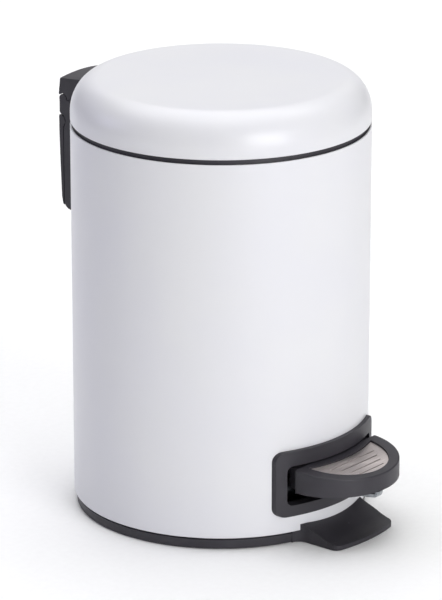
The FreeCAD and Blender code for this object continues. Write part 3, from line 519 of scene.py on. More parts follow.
def moulded_polypropylene(name, tone, shade, grain_mm, roughness, depth):
    """Moulded polypropylene from a spark-eroded tool: matt, with a fine even grain."""
    material, tree, shader, where = new_finish(name, Roughness=roughness, IOR=1.49, Specular_IOR_Level=0.4)
    grain = add_node(tree, "ShaderNodeTexNoise", {"Vector": where, "Scale": size_to_scale(grain_mm), "Detail": 4.0})
    flow = add_node(tree, "ShaderNodeTexNoise", {"Vector": where, "Scale": size_to_scale(24.0), "Detail": 2.0})
    tones = add_node(tree, "ShaderNodeValToRGB", {"Fac": flow.outputs["Fac"]}, [(0.35, shade), (0.65, tone)])
    sheen = add_node(
        tree, "ShaderNodeMapRange",
        {"Value": grain.outputs["Fac"], "To Min": roughness - 0.06, "To Max": roughness + 0.08},
    )
    bump = add_node(tree, "ShaderNodeBump", {"Strength": 0.5, "Distance": depth * MM, "Height": grain.outputs["Fac"]})
    drive(tree, shader, tones, sheen, bump)
    return material


def moulded_polypropylene_black():
    """Housings, pedal and trim: carbon-black polypropylene off a lightly textured tool."""
    look = settings()
    return moulded_polypropylene("moulded_polypropylene_black", look.black, look.black_shade, 0.45, 0.46, 0.03)


def moulded_polypropylene_bucket():
    """The bucket's tool is polished, so its polypropylene is smoother and a little glossier."""
    look = settings()
    return moulded_polypropylene("moulded_polypropylene_bucket", look.bucket, look.black_shade, 1.6, 0.38, 0.01)


def brushed_stainless_steel():
    """Stainless sheet, belt brushed across the pedal: fine parallel lines that smear the highlights."""
    look = settings()
    material, tree, shader, where = new_finish(
        "brushed_stainless_steel", Metallic=1.0, Roughness=0.34, Anisotropic=0.45
    )
    # A real line is about 0.1 mm apart; 0.35 mm is the finest that a picture of the whole bin can show.
    lines = add_node(tree, "ShaderNodeMapping", {"Vector": where, "Scale": (0.02, 1.0, 1.0)})
    brush = add_node(
        tree, "ShaderNodeTexNoise",
        {"Vector": lines.outputs["Vector"], "Scale": size_to_scale(0.35), "Detail": 4.0, "Roughness": 0.7},
    )
    tones = add_node(
        tree, "ShaderNodeValToRGB", {"Fac": brush.outputs["Fac"]},
        [(0.3, look.stainless_shade), (0.7, look.stainless)],
    )
    sheen = add_node(tree, "ShaderNodeMapRange", {"Value": brush.outputs["Fac"], "To Min": 0.28, "To Max": 0.46})
    bump = add_node(tree, "ShaderNodeBump", {"Strength": 0.35, "Distance": 0.01 * MM, "Height": brush.outputs["Fac"]})
    drive(tree, shader, tones, sheen, bump)
    return material


def zinc_plated_steel():
    """Mild steel, bright zinc plated: a slightly bluish metal with a soft mottle from the bath."""
    look = settings()
    material, tree, shader, where = new_finish("zinc_plated_steel", Metallic=1.0, Roughness=0.3)
    mottle = add_node(tree, "ShaderNodeTexNoise", {"Vector": where, "Scale": size_to_scale(3.0), "Detail": 3.0})
    tones = add_node(
        tree, "ShaderNodeValToRGB", {"Fac": mottle.outputs["Fac"]},
        [(0.35, look.zinc_shade), (0.65, look.zinc)],
    )
    sheen = add_node(tree, "ShaderNodeMapRange", {"Value": mottle.outputs["Fac"], "To Min": 0.24, "To Max": 0.38})
    bump = add_node(tree, "ShaderNodeBump", {"Strength": 0.2, "Distance": 0.01 * MM, "Height": mottle.outputs["Fac"]})
    drive(tree, shader, tones, sheen, bump)
    return material


def moulded_rubber():
    """Moulded rubber: dull black with a powdery bloom."""
    look = settings()
    material, tree, shader, where = new_finish("moulded_rubber", Roughness=0.75, IOR=1.52)
    bloom = add_node(tree, "ShaderNodeTexNoise", {"Vector": where, "Scale": size_to_scale(0.8), "Detail": 3.0})
    tones = add_node(
        tree, "ShaderNodeValToRGB", {"Fac": bloom.outputs["Fac"]},
        [(0.35, look.black_shade), (0.65, look.black)],
    )
    sheen = add_node(tree, "ShaderNodeMapRange", {"Value": bloom.outputs["Fac"], "To Min": 0.68, "To Max": 0.85})
    drive(tree, shader, tones, sheen)
    return material


def closed_cell_eva_foam():
    """Closed-cell EVA foam, skived to a sheet: small open pores over a dull black."""
    look = settings()
    material, tree, shader, where = new_finish("closed_cell_eva_foam", Roughness=0.9, IOR=1.45)
    pores = add_node(tree, "ShaderNodeTexVoronoi", {"Vector": where, "Scale": size_to_scale(1.1)})
    tones = add_node(
        tree, "ShaderNodeValToRGB", {"Fac": pores.outputs["Distance"]},
        [(0.1, look.black_shade), (0.6, look.foam)],
    )
    sheen = add_node(tree, "ShaderNodeMapRange", {"Value": pores.outputs["Distance"], "To Min": 0.8, "To Max": 0.95})
    bump = add_node(
        tree, "ShaderNodeBump", {"Strength": 0.6, "Distance": 0.12 * MM, "Height": pores.outputs["Distance"]},
    )
    drive(tree, shader, tones, sheen, bump)
    return material


def finish(maker):
    """The material that a maker function makes under its own name, made once."""
    return bpy.data.materials.get(maker.__name__) or maker()


# --- what a user may change

def colour(name, description, code):
    """A colour that a user may change, with its sRGB hex value as default."""
    return bpy.props.FloatVectorProperty(
        name=name, description=description, size=4, min=0, max=1, subtype="COLOR", default=linear(code)
    )


def length(name, description, low, high, start):
    """A length that a user may change, in metres as Blender keeps it."""
    return bpy.props.FloatProperty(
        name=name, description=description, unit="LENGTH", min=low, max=high, default=start
    )


class PedalBinLook(bpy.types.PropertyGroup):
    """Colours and small sizes of the bin's finishes and mouldings."""

    coat: colour("Coat", "Powder coat", "#dedee1")
    coat_shade: colour("Coat shade", "Cooler cloud in the powder coat", "#dcdce1")
    black: colour("Black", "Black mouldings", "#37353b")
    black_shade: colour("Black shade", "Darker flow in the mouldings", "#2f2d33")
    bucket: colour("Bucket", "Inner bucket", "#2f2f32")
    foam: colour("Foam", "Anti-slip foam", "#3b3b3d")
    stainless: colour("Stainless", "Pedal inlay", "#dcd3d1")
    stainless_shade: colour("Stainless shade", "Darker brush lines", "#b9b0ae")
    zinc: colour("Zinc", "Plated steel", "#b9bcbf")
    zinc_shade: colour("Zinc shade", "Darker mottle in the plating", "#94989c")
    orange_peel: bpy.props.FloatProperty(
        name="Orange peel", description="How strongly the powder coat ripples", min=0, max=1, default=0.25,
        subtype="FACTOR",
    )
    edge_round: length("Edge round", "Radius on the mouldings' outer edges", 0.0001, 0.002, 0.0006)
    bezel_round: length("Bezel round", "Radius on the bezel's face", 0.0002, 0.002, 0.0005)
    grip_ribs: bpy.props.IntProperty(
        name="Grip ribs", description="Pressed ribs across the pedal inlay", min=1, max=6, default=4
    )


def settings():
    """The sizes and colours that a user may change."""
    return bpy.context.scene.pedal_bin


# --- steel shells

def lid_profile(inset):
    """The dome's (r, z) line from the wall's top over the shoulder to the axis, drawn in by inset."""
    flat_r = BODY_R - SHOULDER_W
    rise = LID_HIGH.z - LID_CROWN - WALL_TOP
    points = arc(flat_r, WALL_TOP, SHOULDER_W - inset, 0, 90, 20, rise - inset)
    crown_steps = 8
    for i in range(1, crown_steps):
        r = flat_r * (1 - i / crown_steps)
        z = LID_HIGH.z - LID_CROWN - inset + LID_CROWN * (1 + math.cos(math.pi * r / flat_r)) / 2
        points.append((r, z))
    points.append((0, LID_HIGH.z - inset))
    return points


def build_steel_body():
    """A drawn tube, curled in at the foot, with the pedal's window and the slot for the lid's arm."""
    z0 = SHELL_LOW.z
    top = SHELL_HIGH.z
    curl = 1.1
    lip = 0.25
    flange_r = SHELL_IN - 3.9
    profile = [(flange_r, z0)]
    profile += arc(BODY_R - curl, z0 + curl, curl, -90, 0, 6)
    heights = (14.0, 60.0, 150.0, 205.0)
    profile += [(BODY_R, z) for z in heights]
    profile += arc(BODY_R - lip, top - lip, lip, 0, 90, 3)
    profile += [(SHELL_IN, z) for z in (top, *heights[::-1], z0 + STEEL)] + [(flange_r, z0 + STEEL)]
    piece = turned("steel_body", profile)
    notch_low = 201.8
    notch = block("notch", -ARM_SLOT_HALF, ARM_SLOT_HALF, BODY_R / 2, BODY_R + 5, notch_low, top + 1)
    cut(piece, front_prism("window", window(NECK_WALL + 0.1), -BODY_R - 5, -BODY_R / 2), notch)
    screw_r = 1.6
    for x in (-10.0, 10.0):
        for z in (HOUSING_LOW.z + 12.0, HOUSING_LOW.z + 42.0):
            cut(piece, rod("hole", screw_r, (x, BODY_R / 2, z), (x, BODY_R + 5, z), 32))
    shade(piece)
    return finished(piece, "steel_body", finish(powder_coated_steel), "body", "white_powder_coat", "body_shell")


def screw_holes(piece):
    """Two holes through the lid's rear wall for the cap's screws."""
    screw_r = 1.55
    z = WALL_TOP - 0.6
    for x in (-11.0, 11.0):
        cut(piece, rod("hole", screw_r, (x, BODY_R - 8, z), (x, REAR_Y - 8, z), 32))


def build_steel_lid():
    """A deep-drawn dome whose lower edge is rolled in."""
    z0 = LID_LOW.z
    roll = 0.8
    outer = lid_profile(0)
    inner = lid_profile(STEEL)[::-1]
    profile = inner + [(SHELL_IN, WALL_TOP - 2), (SHELL_IN, z0 + 1.6)]
    profile += [(BODY_R - 1.7, z0 + 1.3), (BODY_R - 1.7, z0 + 0.3), (BODY_R - 1.5, z0)]
    profile += arc(BODY_R - roll, z0 + roll, roll, -90, 0, 5)
    profile += [(BODY_R, WALL_TOP - 2)] + outer
    piece = turned("steel_lid", profile)
    screw_holes(piece)
    shade(piece)
    return finished(piece, "steel_lid", finish(powder_coated_steel), "lid", "white_powder_coat", "lid_shell")


def build_lid_lining():
    """The moulded lining inside the dome, with a stiffening step and a rim that touches the steel."""
    out, thick = 2.0, 1.5
    z0 = LINING_LOW.z
    rim_r = LINING_HIGH.x
    outer = lid_profile(out)
    inner = lid_profile(out + thick)[::-1]
    profile = inner + [(BODY_R - out - thick, z0), (rim_r, z0), (rim_r, z0 + 1.5), (BODY_R - out, z0 + 1.5)] + outer
    piece = turned("lid_lining", profile)
    step_low, step_high = 243.4, 246.8
    section = [(57.0, step_low), (60.0, step_low), (60.6, step_high), (56.4, step_high)]
    step = turned("step", eased(section, 0.5))
    add_to(piece, step)
    screw_holes(piece)
    soften(piece, 0.3, 2)
    return moulded(piece, "lid_lining", "lid", "lid_liner")


# --- collar and base

def build_collar():
    """The moulded collar that closes the tube's top, carries the bucket's rim and shows as a dark line."""
    band_r = COLLAR_HIGH.x - 0.9
    plug_r = SHELL_IN - 0.1
    top = COLLAR_HIGH.z
    ledge = top - 5.4
    throat_r = 71.2
    mouth_r = 73.6
    profile = [
        (throat_r, ledge - 2.2), (plug_r - 2.4, ledge - 2.2), (plug_r - 2.4, COLLAR_LOW.z), (plug_r, COLLAR_LOW.z),
        (plug_r, SHELL_HIGH.z - 0.1), (band_r, SHELL_HIGH.z - 0.1), (band_r, top), (mouth_r, top), (mouth_r, ledge),
        (throat_r, ledge),
    ]
    piece = turned("collar", profile)
    edit(piece)
    pick(piece, "VERT", lambda v: math.hypot(v.co.x, v.co.y) < (mouth_r + 1.0) * MM)
    bpy.ops.transform.translate(value=(0, BUCKET_Y * MM, 0))
    close_edit()
    soften(piece, 0.35, 3, 50.0, join_flats=False)
    slot_half, slot_y = 5.2, 67.0
    cut(piece, block("rod_slot", -slot_half, slot_half, slot_y, BODY_R + 2, SHELL_HIGH.z - 20, top + 1))
    shade(piece)
    return moulded(piece, "collar", "body", "top_collar")


def ring_sector(name, inner, outer, half_x, z0, z1):
    """A stretch of ring at the front, between two radial seams that meet the ring at half_x."""
    half = math.degrees(math.asin(half_x / (BODY_R - 1.0)))
    steps = 24
    outline = arc(0, 0, outer, -90 - half, -90 + half, steps) + arc(0, 0, inner, -90 + half, -90 - half, steps)
    return plan_prism(name, outline, z0, z1)


def build_base():
    """The moulded tray that closes the tube's foot, with a recess for the foam disc."""
    z0 = TRAY_LOW.z
    ring_top = SHELL_LOW.z
    ring_r = TRAY_HIGH.x
    collar_r = SHELL_IN - 4.0
    wall_in = ring_r - 6.5
    recess_r = PAD_HIGH.x + 0.1
    floor_top = 2.8
    profile = [
        (0, PAD_HIGH.z), (recess_r, PAD_HIGH.z), (recess_r, z0), (ring_r - 1.0, z0), (ring_r - 0.6, z0 + 0.4),
        (ring_r - 0.1, ring_top - 1.0), (ring_r - 1.3, ring_top - 0.8), (ring_r - 1.3, ring_top),
        (collar_r, ring_top), (collar_r, TRAY_HIGH.z), (wall_in, TRAY_HIGH.z), (wall_in, floor_top), (0, floor_top),
    ]
    piece = turned("base", profile)
    soften(piece, 0.25, 2, 50.0)
    seam_half = FOOT_HIGH.x + 0.15
    cut(piece, ring_sector("seam", collar_r, BODY_R + 6, seam_half, -2, ring_top + 0.02))
    tail_half = 8.6
    cut(piece, block("tail_room", -tail_half, tail_half, BODY_R / 2, collar_r, floor_top, TRAY_HIGH.z + 1))
    rivet_r = 1.5
    for x in (-9.0, 9.0):
        for y in (LEVER_AXIS.y - 5.0, LEVER_AXIS.y + 5.0):
            cut(piece, rod("hole", rivet_r, (x, y, -1), (x, y, 4), 24))
    shade(piece)
    return moulded(piece, "base", "body", "base_tray")


def foot_outline():
    """The foot from above: hollow corners at the ring, straight sides and a round nose."""
    half = 26.0
    root = FOOT_HIGH.x
    nose = -FOOT_LOW.y
    corner = 5.0
    ring_r = BODY_R - 1.0
    root_y = -math.sqrt(ring_r ** 2 - root ** 2)
    hollow = 7.0
    side = arc(root, root_y - hollow, root - half, 90, 180, 8, hollow)
    tip_y = -math.sqrt((nose - corner) ** 2 - (half - corner) ** 2)
    turn = math.degrees(math.atan2(half - corner, -tip_y))
    nose_arc = arc(half - corner, tip_y, corner, 0, -90 + turn, 6)
    right = [(root, root_y + 3)] + side + nose_arc
    front = arc(0, 0, nose, -90 + turn, -90 - turn, 20)[1:-1]
    left = [(-x, y) for x, y in right[::-1]]
    return right + front + left


def build_foot():
    """The moulded foot that runs forward from the base ring under the pedal, and keeps the bin from tipping."""
    z0 = FOOT_LOW.z
    top = FOOT_HIGH.z
    nose = -FOOT_LOW.y
    side = [
        (-60.0, z0), (-nose - 1, z0), (-nose - 1, 2.7), (-nose + 2, 2.9), (-100.0, 3.7), (-96.0, 5.0), (-92.0, 6.8),
        (-81.0, top), (-60.0, top),
    ]
    piece = plan_prism("foot", foot_outline(), z0, top + 1)
    combine(piece, side_prism("slope", side, -40, 40), "INTERSECT")
    cut(piece, drum("tube_room", BODY_R + 0.05, SHELL_LOW.z, top + 2))
    cut(piece, drum("ring_room", BODY_R - 2.0, -1, top + 2))
    soften(piece, 0.7, 3, 28.0)
    share = ring_sector("share", SHELL_IN - 3.9, BODY_R - 1.0, FOOT_HIGH.x, z0, SHELL_LOW.z)
    soften(share, 0.25, 2, 50.0)
    gate = rod("gate", 0.55, (0, -92.5, 5.6), (0, -92.5, 6.75), 20)
    soften(gate, 0.12, 2, 40.0)
    join(piece, share, gate)
    return moulded(piece, "foot", "body", "stabiliser_foot")


# --- pedal

WINDOW_HALF = PEDAL_HIGH.x + 0.9
WINDOW_LOW = BEZEL_LOW.z + 6.4
WINDOW_HIGH = BEZEL_HIGH.z - 8.6
WINDOW_ROUND = 3.5
NECK_WALL = 1.6


def window(grow):
    """The window's (x, z) outline, grown all round."""
    return rounded_window(WINDOW_HALF + grow, WINDOW_LOW - grow, WINDOW_HIGH + grow, WINDOW_ROUND + grow)


def round_edges(piece, width, segments, test):
    """Rounds those edges that pass a test."""
    edit(piece)
    pick(piece, "EDGE", test)
    bpy.ops.mesh.bevel(offset=width * MM, segments=segments, affect="EDGES", clamp_overlap=True)
    close_edit()


def build_bezel():
    """The moulded frame round the pedal's window: proud of the tube, with a neck that passes through it."""
    face_r = -BEZEL_LOW.y
    height = (BEZEL_LOW.z - 5, BEZEL_HIGH.z + 5)
    ring = [(BODY_R, height[0]), (face_r, height[0]), (face_r, height[1]), (BODY_R, height[1])]
    piece = turned("bezel", ring, 0.0, 2 * ROUND)
    frame_outline = rounded_window(BEZEL_HIGH.x, BEZEL_LOW.z, BEZEL_HIGH.z, 5.5)
    combine(piece, front_prism("outline", frame_outline, -face_r - 5, -BODY_R / 2), "INTERSECT")
    ring = [(BODY_R - 4, height[0]), (BODY_R + 0.5, height[0]), (BODY_R + 0.5, height[1]), (BODY_R - 4, height[1])]
    neck = turned("neck", ring, 0.0, 2 * ROUND)
    combine(neck, front_prism("outline", window(NECK_WALL), -face_r - 5, -BODY_R / 2), "INTERSECT")
    add_to(piece, neck)
    cut(piece, front_prism("opening", window(0), -face_r - 5, -BODY_R / 2))
    tidy(piece)
    round_edges(
        piece, settings().bezel_round / MM, 4,
        lambda e: e.calc_face_angle(0) > 0.7 and every(e, lambda p: math.hypot(p.x, p.y) > face_r - 0.05),
    )
    shade(piece, 40.0)
    return moulded(piece, "bezel", "body", "pedal_bezel")


PEDAL_BACK_Y = -BODY_R - 1.0
PEDAL_SLOPE = 5.7
PEDAL_TOP = 46.3
PEDAL_REAR = PEDAL_BACK_Y + 2.0


def pedal_outline(inset, back):
    """The pedal from above, a half oval drawn in by inset and closed straight at the back."""
    half = PEDAL_HIGH.x - inset
    reach = -PEDAL_LOW.y + PEDAL_BACK_Y - inset
    turn = math.degrees(math.asin(min(1.0, (back - PEDAL_BACK_Y) / reach)))
    return arc(0, PEDAL_BACK_Y, half, turn, -180 - turn, 72, reach)


def slope_plane(drop):
    """A point and the normal of the pedal's sloping top, lowered by drop."""
    lean = math.radians(PEDAL_SLOPE)
    return (0, -BODY_R, PEDAL_TOP - drop), (0, -math.sin(lean), math.cos(lean))


def plate_outline_solid(name, grow, z0, z1):
    """The inlay's upright block: an oval cut by an arc about the tube's axis."""
    half = PLATE_HIGH.x + grow
    reach = -PLATE_LOW.y + PEDAL_BACK_Y + grow
    piece = plan_prism(name, arc(0, PEDAL_BACK_Y, half, 0, 360, 96, reach)[:-1], z0, z1)
    return cut(piece, drum("heel", BODY_R + INLAY_GAP - grow, z0 - 1, z1 + 1))


def build_pedal():
    """The moulded pedal: a sloping half oval with a neck into the window, hollow below, with a seat for the inlay."""
    z0 = PEDAL_LOW.z
    piece = plan_prism("pedal", pedal_outline(0, PEDAL_REAR), z0, 55.0)
    slice_off(piece, *slope_plane(0))
    round_edges(
        piece, 0.8, 4,
        lambda e: every(e, lambda p: p.z > z0 + 5) and not every(e, lambda p: p.y > PEDAL_REAR - 0.1),
    )
    neck_half = 32.0
    neck = block("neck", -neck_half, neck_half, PEDAL_REAR - 1, PEDAL_HIGH.y, z0, PEDAL_TOP - 1.0)
    add_to(piece, neck)
    wall = 2.6
    roof = 3.2
    hollow = plan_prism("hollow", pedal_outline(wall, PEDAL_REAR - 1), z0 - 1, 55.0)
    slice_off(hollow, *slope_plane(roof))
    cut(piece, hollow)
    neck_room = block(
        "neck_room", -neck_half + wall, neck_half - wall, PEDAL_REAR - 2, PEDAL_HIGH.y + 1, z0 - 1, PEDAL_TOP - roof
    )
    cut(piece, neck_room)
    seat = plate_outline_solid("seat", 0.1, z0 + 4, 60.0)
    place, normal = slope_plane(2 * PLATE_STEEL)
    slice_off(seat, place, [-n for n in normal])
    cut(piece, seat)
    soften(piece, 0.3, 2, 40.0)
    return moulded(piece, "pedal", "pedal", "pedal_cap")


def build_tread_plate():
    """The brushed inlay, with pressed grip ribs across it."""
    piece = plate_outline_solid("tread_plate", 0.0, 30.0, 60.0)
    slice_off(piece, *slope_plane(PLATE_STEEL))
    place, normal = slope_plane(2 * PLATE_STEEL)
    slice_off(piece, place, [-n for n in normal])
    soften(piece, 0.15, 2, 40.0)
    count = settings().grip_ribs
    pitch = 4.6
    rib_r = 0.65
    lean = math.radians(PEDAL_SLOPE)
    for i in range(count):
        y = -BODY_R - INLAY_GAP - 4.0 - i * pitch
        half = PLATE_HIGH.x - 9.0 - i * 3.0
        outline = arc(half, y, rib_r, -90, 90, 6) + arc(-half, y, rib_r, 90, 270, 6)
        z = PEDAL_TOP - PLATE_STEEL + (y + BODY_R) * math.tan(lean)
        rib = plan_prism("rib", outline, z - 0.3, z + 0.35)
        round_edges(rib, 0.3, 3, lambda e: every(e, lambda p: p.z > z + 0.2))
        turn = Matrix.Translation((0, y * MM, z * MM)) @ Matrix.Rotation(lean, 4, "X")
        rib.data.transform(turn @ Matrix.Translation((0, -y * MM, -z * MM)))
        add_to(piece, rib)
    shade(piece, 40.0)
    return finished(
        piece, "tread_plate", finish(brushed_stainless_steel), "pedal", "brushed_stainless", "pedal_plate"
    )


def lever_line():
    """The lever's middle line, in (y, z), from its tail under the push rod to its hook under the pedal."""
    over = LEVER_AXIS.z + 5.5
    deck = PEDAL_LOW.z + 2.5
    front = PEDAL_LOW.y
    return [
        (LEVER_HIGH.y - 0.1, LEVER_LOW.z + 1.0), (LEVER_AXIS.y + 9, over), (LEVER_AXIS.y - 6, over),
        (PEDAL_BACK_Y + 12, deck), (PEDAL_BACK_Y - 11, deck), (PEDAL_BACK_Y - 18, PEDAL_LOW.z - 6.4),
        (front + 4.6, PEDAL_LOW.z - 4.6), (front + 4.0, PEDAL_LOW.z - 1.8),
    ]


def build_lever():
    """The pressed lever: a wide strap that narrows to a tongue and hooks up under the pedal's front."""
    half = LEVER_HIGH.x
    piece = drawn("lever", [(-half, y, z) for y, z in bent(lever_line(), 3.0, 4)], filled=False)
    edit(piece)
    bpy.ops.mesh.select_mode(type="EDGE")
    bpy.ops.mesh.select_all(action="SELECT")
    bpy.ops.mesh.extrude_edges_move(TRANSFORM_OT_translate={"value": (2 * half * MM, 0, 0)})
    shoulder_y = PEDAL_BACK_Y - 10.5
    pick(piece, "VERT", lambda v: v.co.y / MM < shoulder_y)
    tongue_share = 0.32
    bpy.ops.transform.resize(value=(tongue_share, 1, 1), center_override=(0, 0, 0))
    close_edit()
    sheet = 2.0
    apply_modifier(piece, "SOLIDIFY", thickness=sheet * MM, offset=0.0, use_even_offset=True)
    soften(piece, 0.45, 3, 50.0)
    return finished(piece, "lever", finish(zinc_plated_steel), "pedal", "zinc_steel", "pedal_lever")


# --- housing, cap and handle

def build_housing():
    """The moulded housing on the tube's back: a box for the lid's arm, with the hinge's outer knuckles on top."""
    half = HOUSING_HIGH.x
    z0 = HOUSING_LOW.z
    seat = REAR_Y - 3.0
    top = HINGE.z - 0.4
    ledge = HANDLE_AXIS.z + BOSS_R
    outline = [
        (BODY_R - 6, z0), (REAR_Y - 8.1, z0), (REAR_Y - 5.6, z0 + 0.6), (REAR_Y - 4.2, z0 + 1.5), (seat, z0 + 3.2),
        (seat, ledge + 0.3), (REAR_Y - 1.0, ledge + 0.6), (REAR_Y, ledge + 1.8), (REAR_Y, top), (BODY_R - 6, top),
    ]
    piece = side_prism("housing", outline, -half, half)
    cut(piece, drum("tube", BODY_R + 0.02, 0, 260))
    pin = (HANDLE_AXIS.y, HANDLE_AXIS.z)
    cut(piece, cross_rod("boss_room", BOSS_R + 0.3, -half - 1, half + 1, *pin, 64))
    soften(piece, 0.35, 3, 40.0)
    bridge_half = half - STRAP_W - 0.3
    bridge = [
        (seat - 1.5, HANDLE_AXIS.z - 7), (REAR_Y - 0.2, HANDLE_AXIS.z - 2.0), (REAR_Y, ledge + 3),
        (seat - 1.5, ledge + 3),
    ]
    add_to(piece, side_prism("bridge", bridge, -bridge_half, bridge_half))
    add_to(piece, cross_rod("pivot", 1.6, -bridge_half - 0.2, bridge_half + 0.2, *pin, 32))
    wall = MOULDED_WALL
    cut(piece, block("room", -half + wall, half - wall, BODY_R - 8, seat - wall, z0 + wall, top + 1))
    inner = 8.2
    end = half - 0.03
    cut(piece, cross_rod("knuckle_room", KNUCKLE_R + 0.7, -inner, inner, HINGE.y, HINGE.z))
    for x0, x1 in ((-end, -inner), (inner, end)):
        add_to(piece, cross_rod("knuckle", KNUCKLE_R - 0.03, x0, x1, HINGE.y, HINGE.z))
    cut(piece, block("arm_slot", -ARM_SLOT_HALF, ARM_SLOT_HALF, 60, HINGE.y + 0.6, HINGE.z - 7.4, top + 1))
    tidy(piece)
    shade(piece)
    return moulded(piece, "housing", "body", "hinge_bracket")


def build_cap():
    """The moulded cap on the lid's back that turns on the hinge pin, with a low crown and a hollow underside."""
    half = CAP_HIGH.x
    z0 = HINGE.z
    rise = 12.8
    crown = CAP_HIGH.z - z0 - rise
    top = z0 + rise
    proud, lean, corner = 0.3, 1.0, 1.6
    outline = [
        (BODY_R - SHOULDER_W, z0), (HINGE.y, z0), (REAR_Y + proud, z0 + KNUCKLE_R),
        (REAR_Y + proud - lean, top - corner), (REAR_Y + proud - lean - 1.2, top + crown),
        (BODY_R - SHOULDER_W, top + crown),
    ]
    piece = side_prism("cap", outline, -half, half)
    crown_r = (half ** 2 + crown ** 2) / (2 * crown)
    slope = math.tan(math.radians(4.8))
    centre = BODY_R + 6
    near = (0, centre - 40, top + crown - crown_r + 40 * slope)
    far = (0, centre + 40, top + crown - crown_r - 40 * slope)
    combine(piece, rod("crown", crown_r, near, far, 720), "INTERSECT")
    dome = turned("dome", [(0, 200), (BODY_R + 0.05, 200), (BODY_R + 0.05, WALL_TOP)] + lid_profile(-0.05)[1:])
    cut(piece, dome)
    barrel_half = 8.0
    for x0, x1 in ((-half - 1, -barrel_half), (barrel_half, half + 1)):
        cut(piece, cross_rod("relief", KNUCKLE_R + 0.5, x0, x1, HINGE.y, z0))
    soften(piece, settings().edge_round / MM, 3, 40.0)
    barrel_end = barrel_half - 0.07
    add_to(piece, cross_rod("barrel", KNUCKLE_R, -barrel_end, barrel_end, HINGE.y, z0))
    inside = half - MOULDED_WALL
    cut(piece, block("pocket", -inside, inside, BODY_R + 2.6, HINGE.y - KNUCKLE_R - 1.4, z0 - 1, top - 4.0))
    cut(piece, block("arm_slot", -ARM_SLOT_HALF / 2, ARM_SLOT_HALF / 2, 60, HINGE.y, z0 - 6, top - 3.4))
    shade(piece)
    return moulded(piece, "cap", "lid", "hinge_cap")


def build_handle():
    """The moulded carry handle: a strap that folds flat on the housing and turns on two short pins."""
    half = HANDLE_HIGH.x
    z0 = HANDLE_LOW.z
    face = REAR_Y - 2.7
    rear = HANDLE_HIGH.y
    axis_y, axis_z = HANDLE_AXIS.y, HANDLE_AXIS.z
    start = math.degrees(math.acos((rear - axis_y) / BOSS_R))
    end = 360 - math.degrees(math.acos((face - axis_y) / BOSS_R))
    outline = [
        (face, z0 - 1.0), (face + 0.3, z0 - 1.0), (face + 0.9, z0 + 0.6), (face + 1.5, z0 + 4.0),
        (rear - 0.4, z0 + 29.0), (rear, axis_z - 5.6),
    ]
    outline += arc(axis_y, axis_z, BOSS_R, start, end, 24)
    piece = side_prism("handle", outline, -half, half)
    inner = half - STRAP_W
    cut(piece, front_prism("finger_room", rounded_window(inner, z0 + 14.0, axis_z + 16, 4.0), BODY_R, REAR_Y + 5))
    cut(piece, cross_rod("pin_room", 0.75, -half + 1.2, half - 1.2, axis_y, axis_z, 24))
    soften(piece, 0.45, 3, 40.0)
    return moulded(piece, "handle", "handle", "carry_handle")


# --- bucket

def build_bucket():
    """The moulded lift-out bucket: a tapered pail with a flat rim and two lugs for its bail."""
    z0 = BUCKET_LOW.z
    rim_r = BUCKET_HIGH.x
    top_r = rim_r - RIM_W
    foot_r = top_r - 4.6
    wall = 1.5
    rim_z = 219.7
    top = rim_z + wall
    profile = [(0, z0 + 0.8), (foot_r - 14, z0 + 0.8), (foot_r - 13, z0), (foot_r - 4, z0)]
    profile += arc(foot_r - 4, z0 + 4, 4, -90, 0, 6)[1:]
    profile += [(top_r - 1.2, rim_z - 40), (top_r, rim_z), (rim_r, rim_z), (rim_r, top), (top_r - wall, top)]
    profile += [(top_r - 1.2 - wall, rim_z - 40)]
    profile += arc(foot_r - 4, z0 + 4.8, 4 - wall, 0, -90, 6)
    profile += [(0, z0 + 0.8 + wall)]
    piece = turned("bucket", profile, BUCKET_Y)
    lug_r = 3.0
    lug_x = top_r - 2.0
    lug_in = lug_x - LUG_W
    y0, y1 = BUCKET_Y - lug_r, BUCKET_Y + lug_r
    ear = arc(BUCKET_Y, BAIL_AXIS.z, lug_r, 0, 180, 12) + [(y0, top - 3.5), (y1, top - 3.5)]
    for side in (-1, 1):
        lug = side_prism("lug", ear, *sorted((side * lug_x, side * lug_in)))
        root = block("root", *sorted((side * lug_in, side * (top_r - 0.6))), y0, y1, top - 5.0, top - 0.1)
        add_to(piece, lug, root)
    cut(piece, cross_rod("hole", 1.46, -top_r, top_r, BUCKET_Y, BAIL_AXIS.z, 32))
    soften(piece, 0.25, 2, 40.0)
    return finished(piece, "bucket", finish(moulded_polypropylene_bucket), "bucket", "bucket_plastic", "inner_bucket")


def half_ring(name, wire_r, half_angle, segments=96):
    """A round bar bent along the rim's front, to half_angle either side of the middle, with closed ends."""
    start = math.radians(-90 - half_angle)
    centre = (BAIL_RING_R * math.cos(start), BUCKET_Y + BAIL_RING_R * math.sin(start))
    bpy.ops.object.select_all(action="DESELECT")
    bpy.ops.mesh.primitive_circle_add(
        vertices=20, radius=wire_r * MM, fill_type="NGON",
        location=(centre[0] * MM, centre[1] * MM, BAIL_AXIS.z * MM), rotation=(math.pi / 2, 0, start),
    )
    piece = placed(name)
    edit(piece)
    bpy.ops.mesh.spin(
        steps=segments, angle=math.radians(-2 * half_angle), center=(0, BUCKET_Y * MM, BAIL_AXIS.z * MM),
        axis=(0, 0, 1), dupli=False,
    )
    closed_up()
    return piece


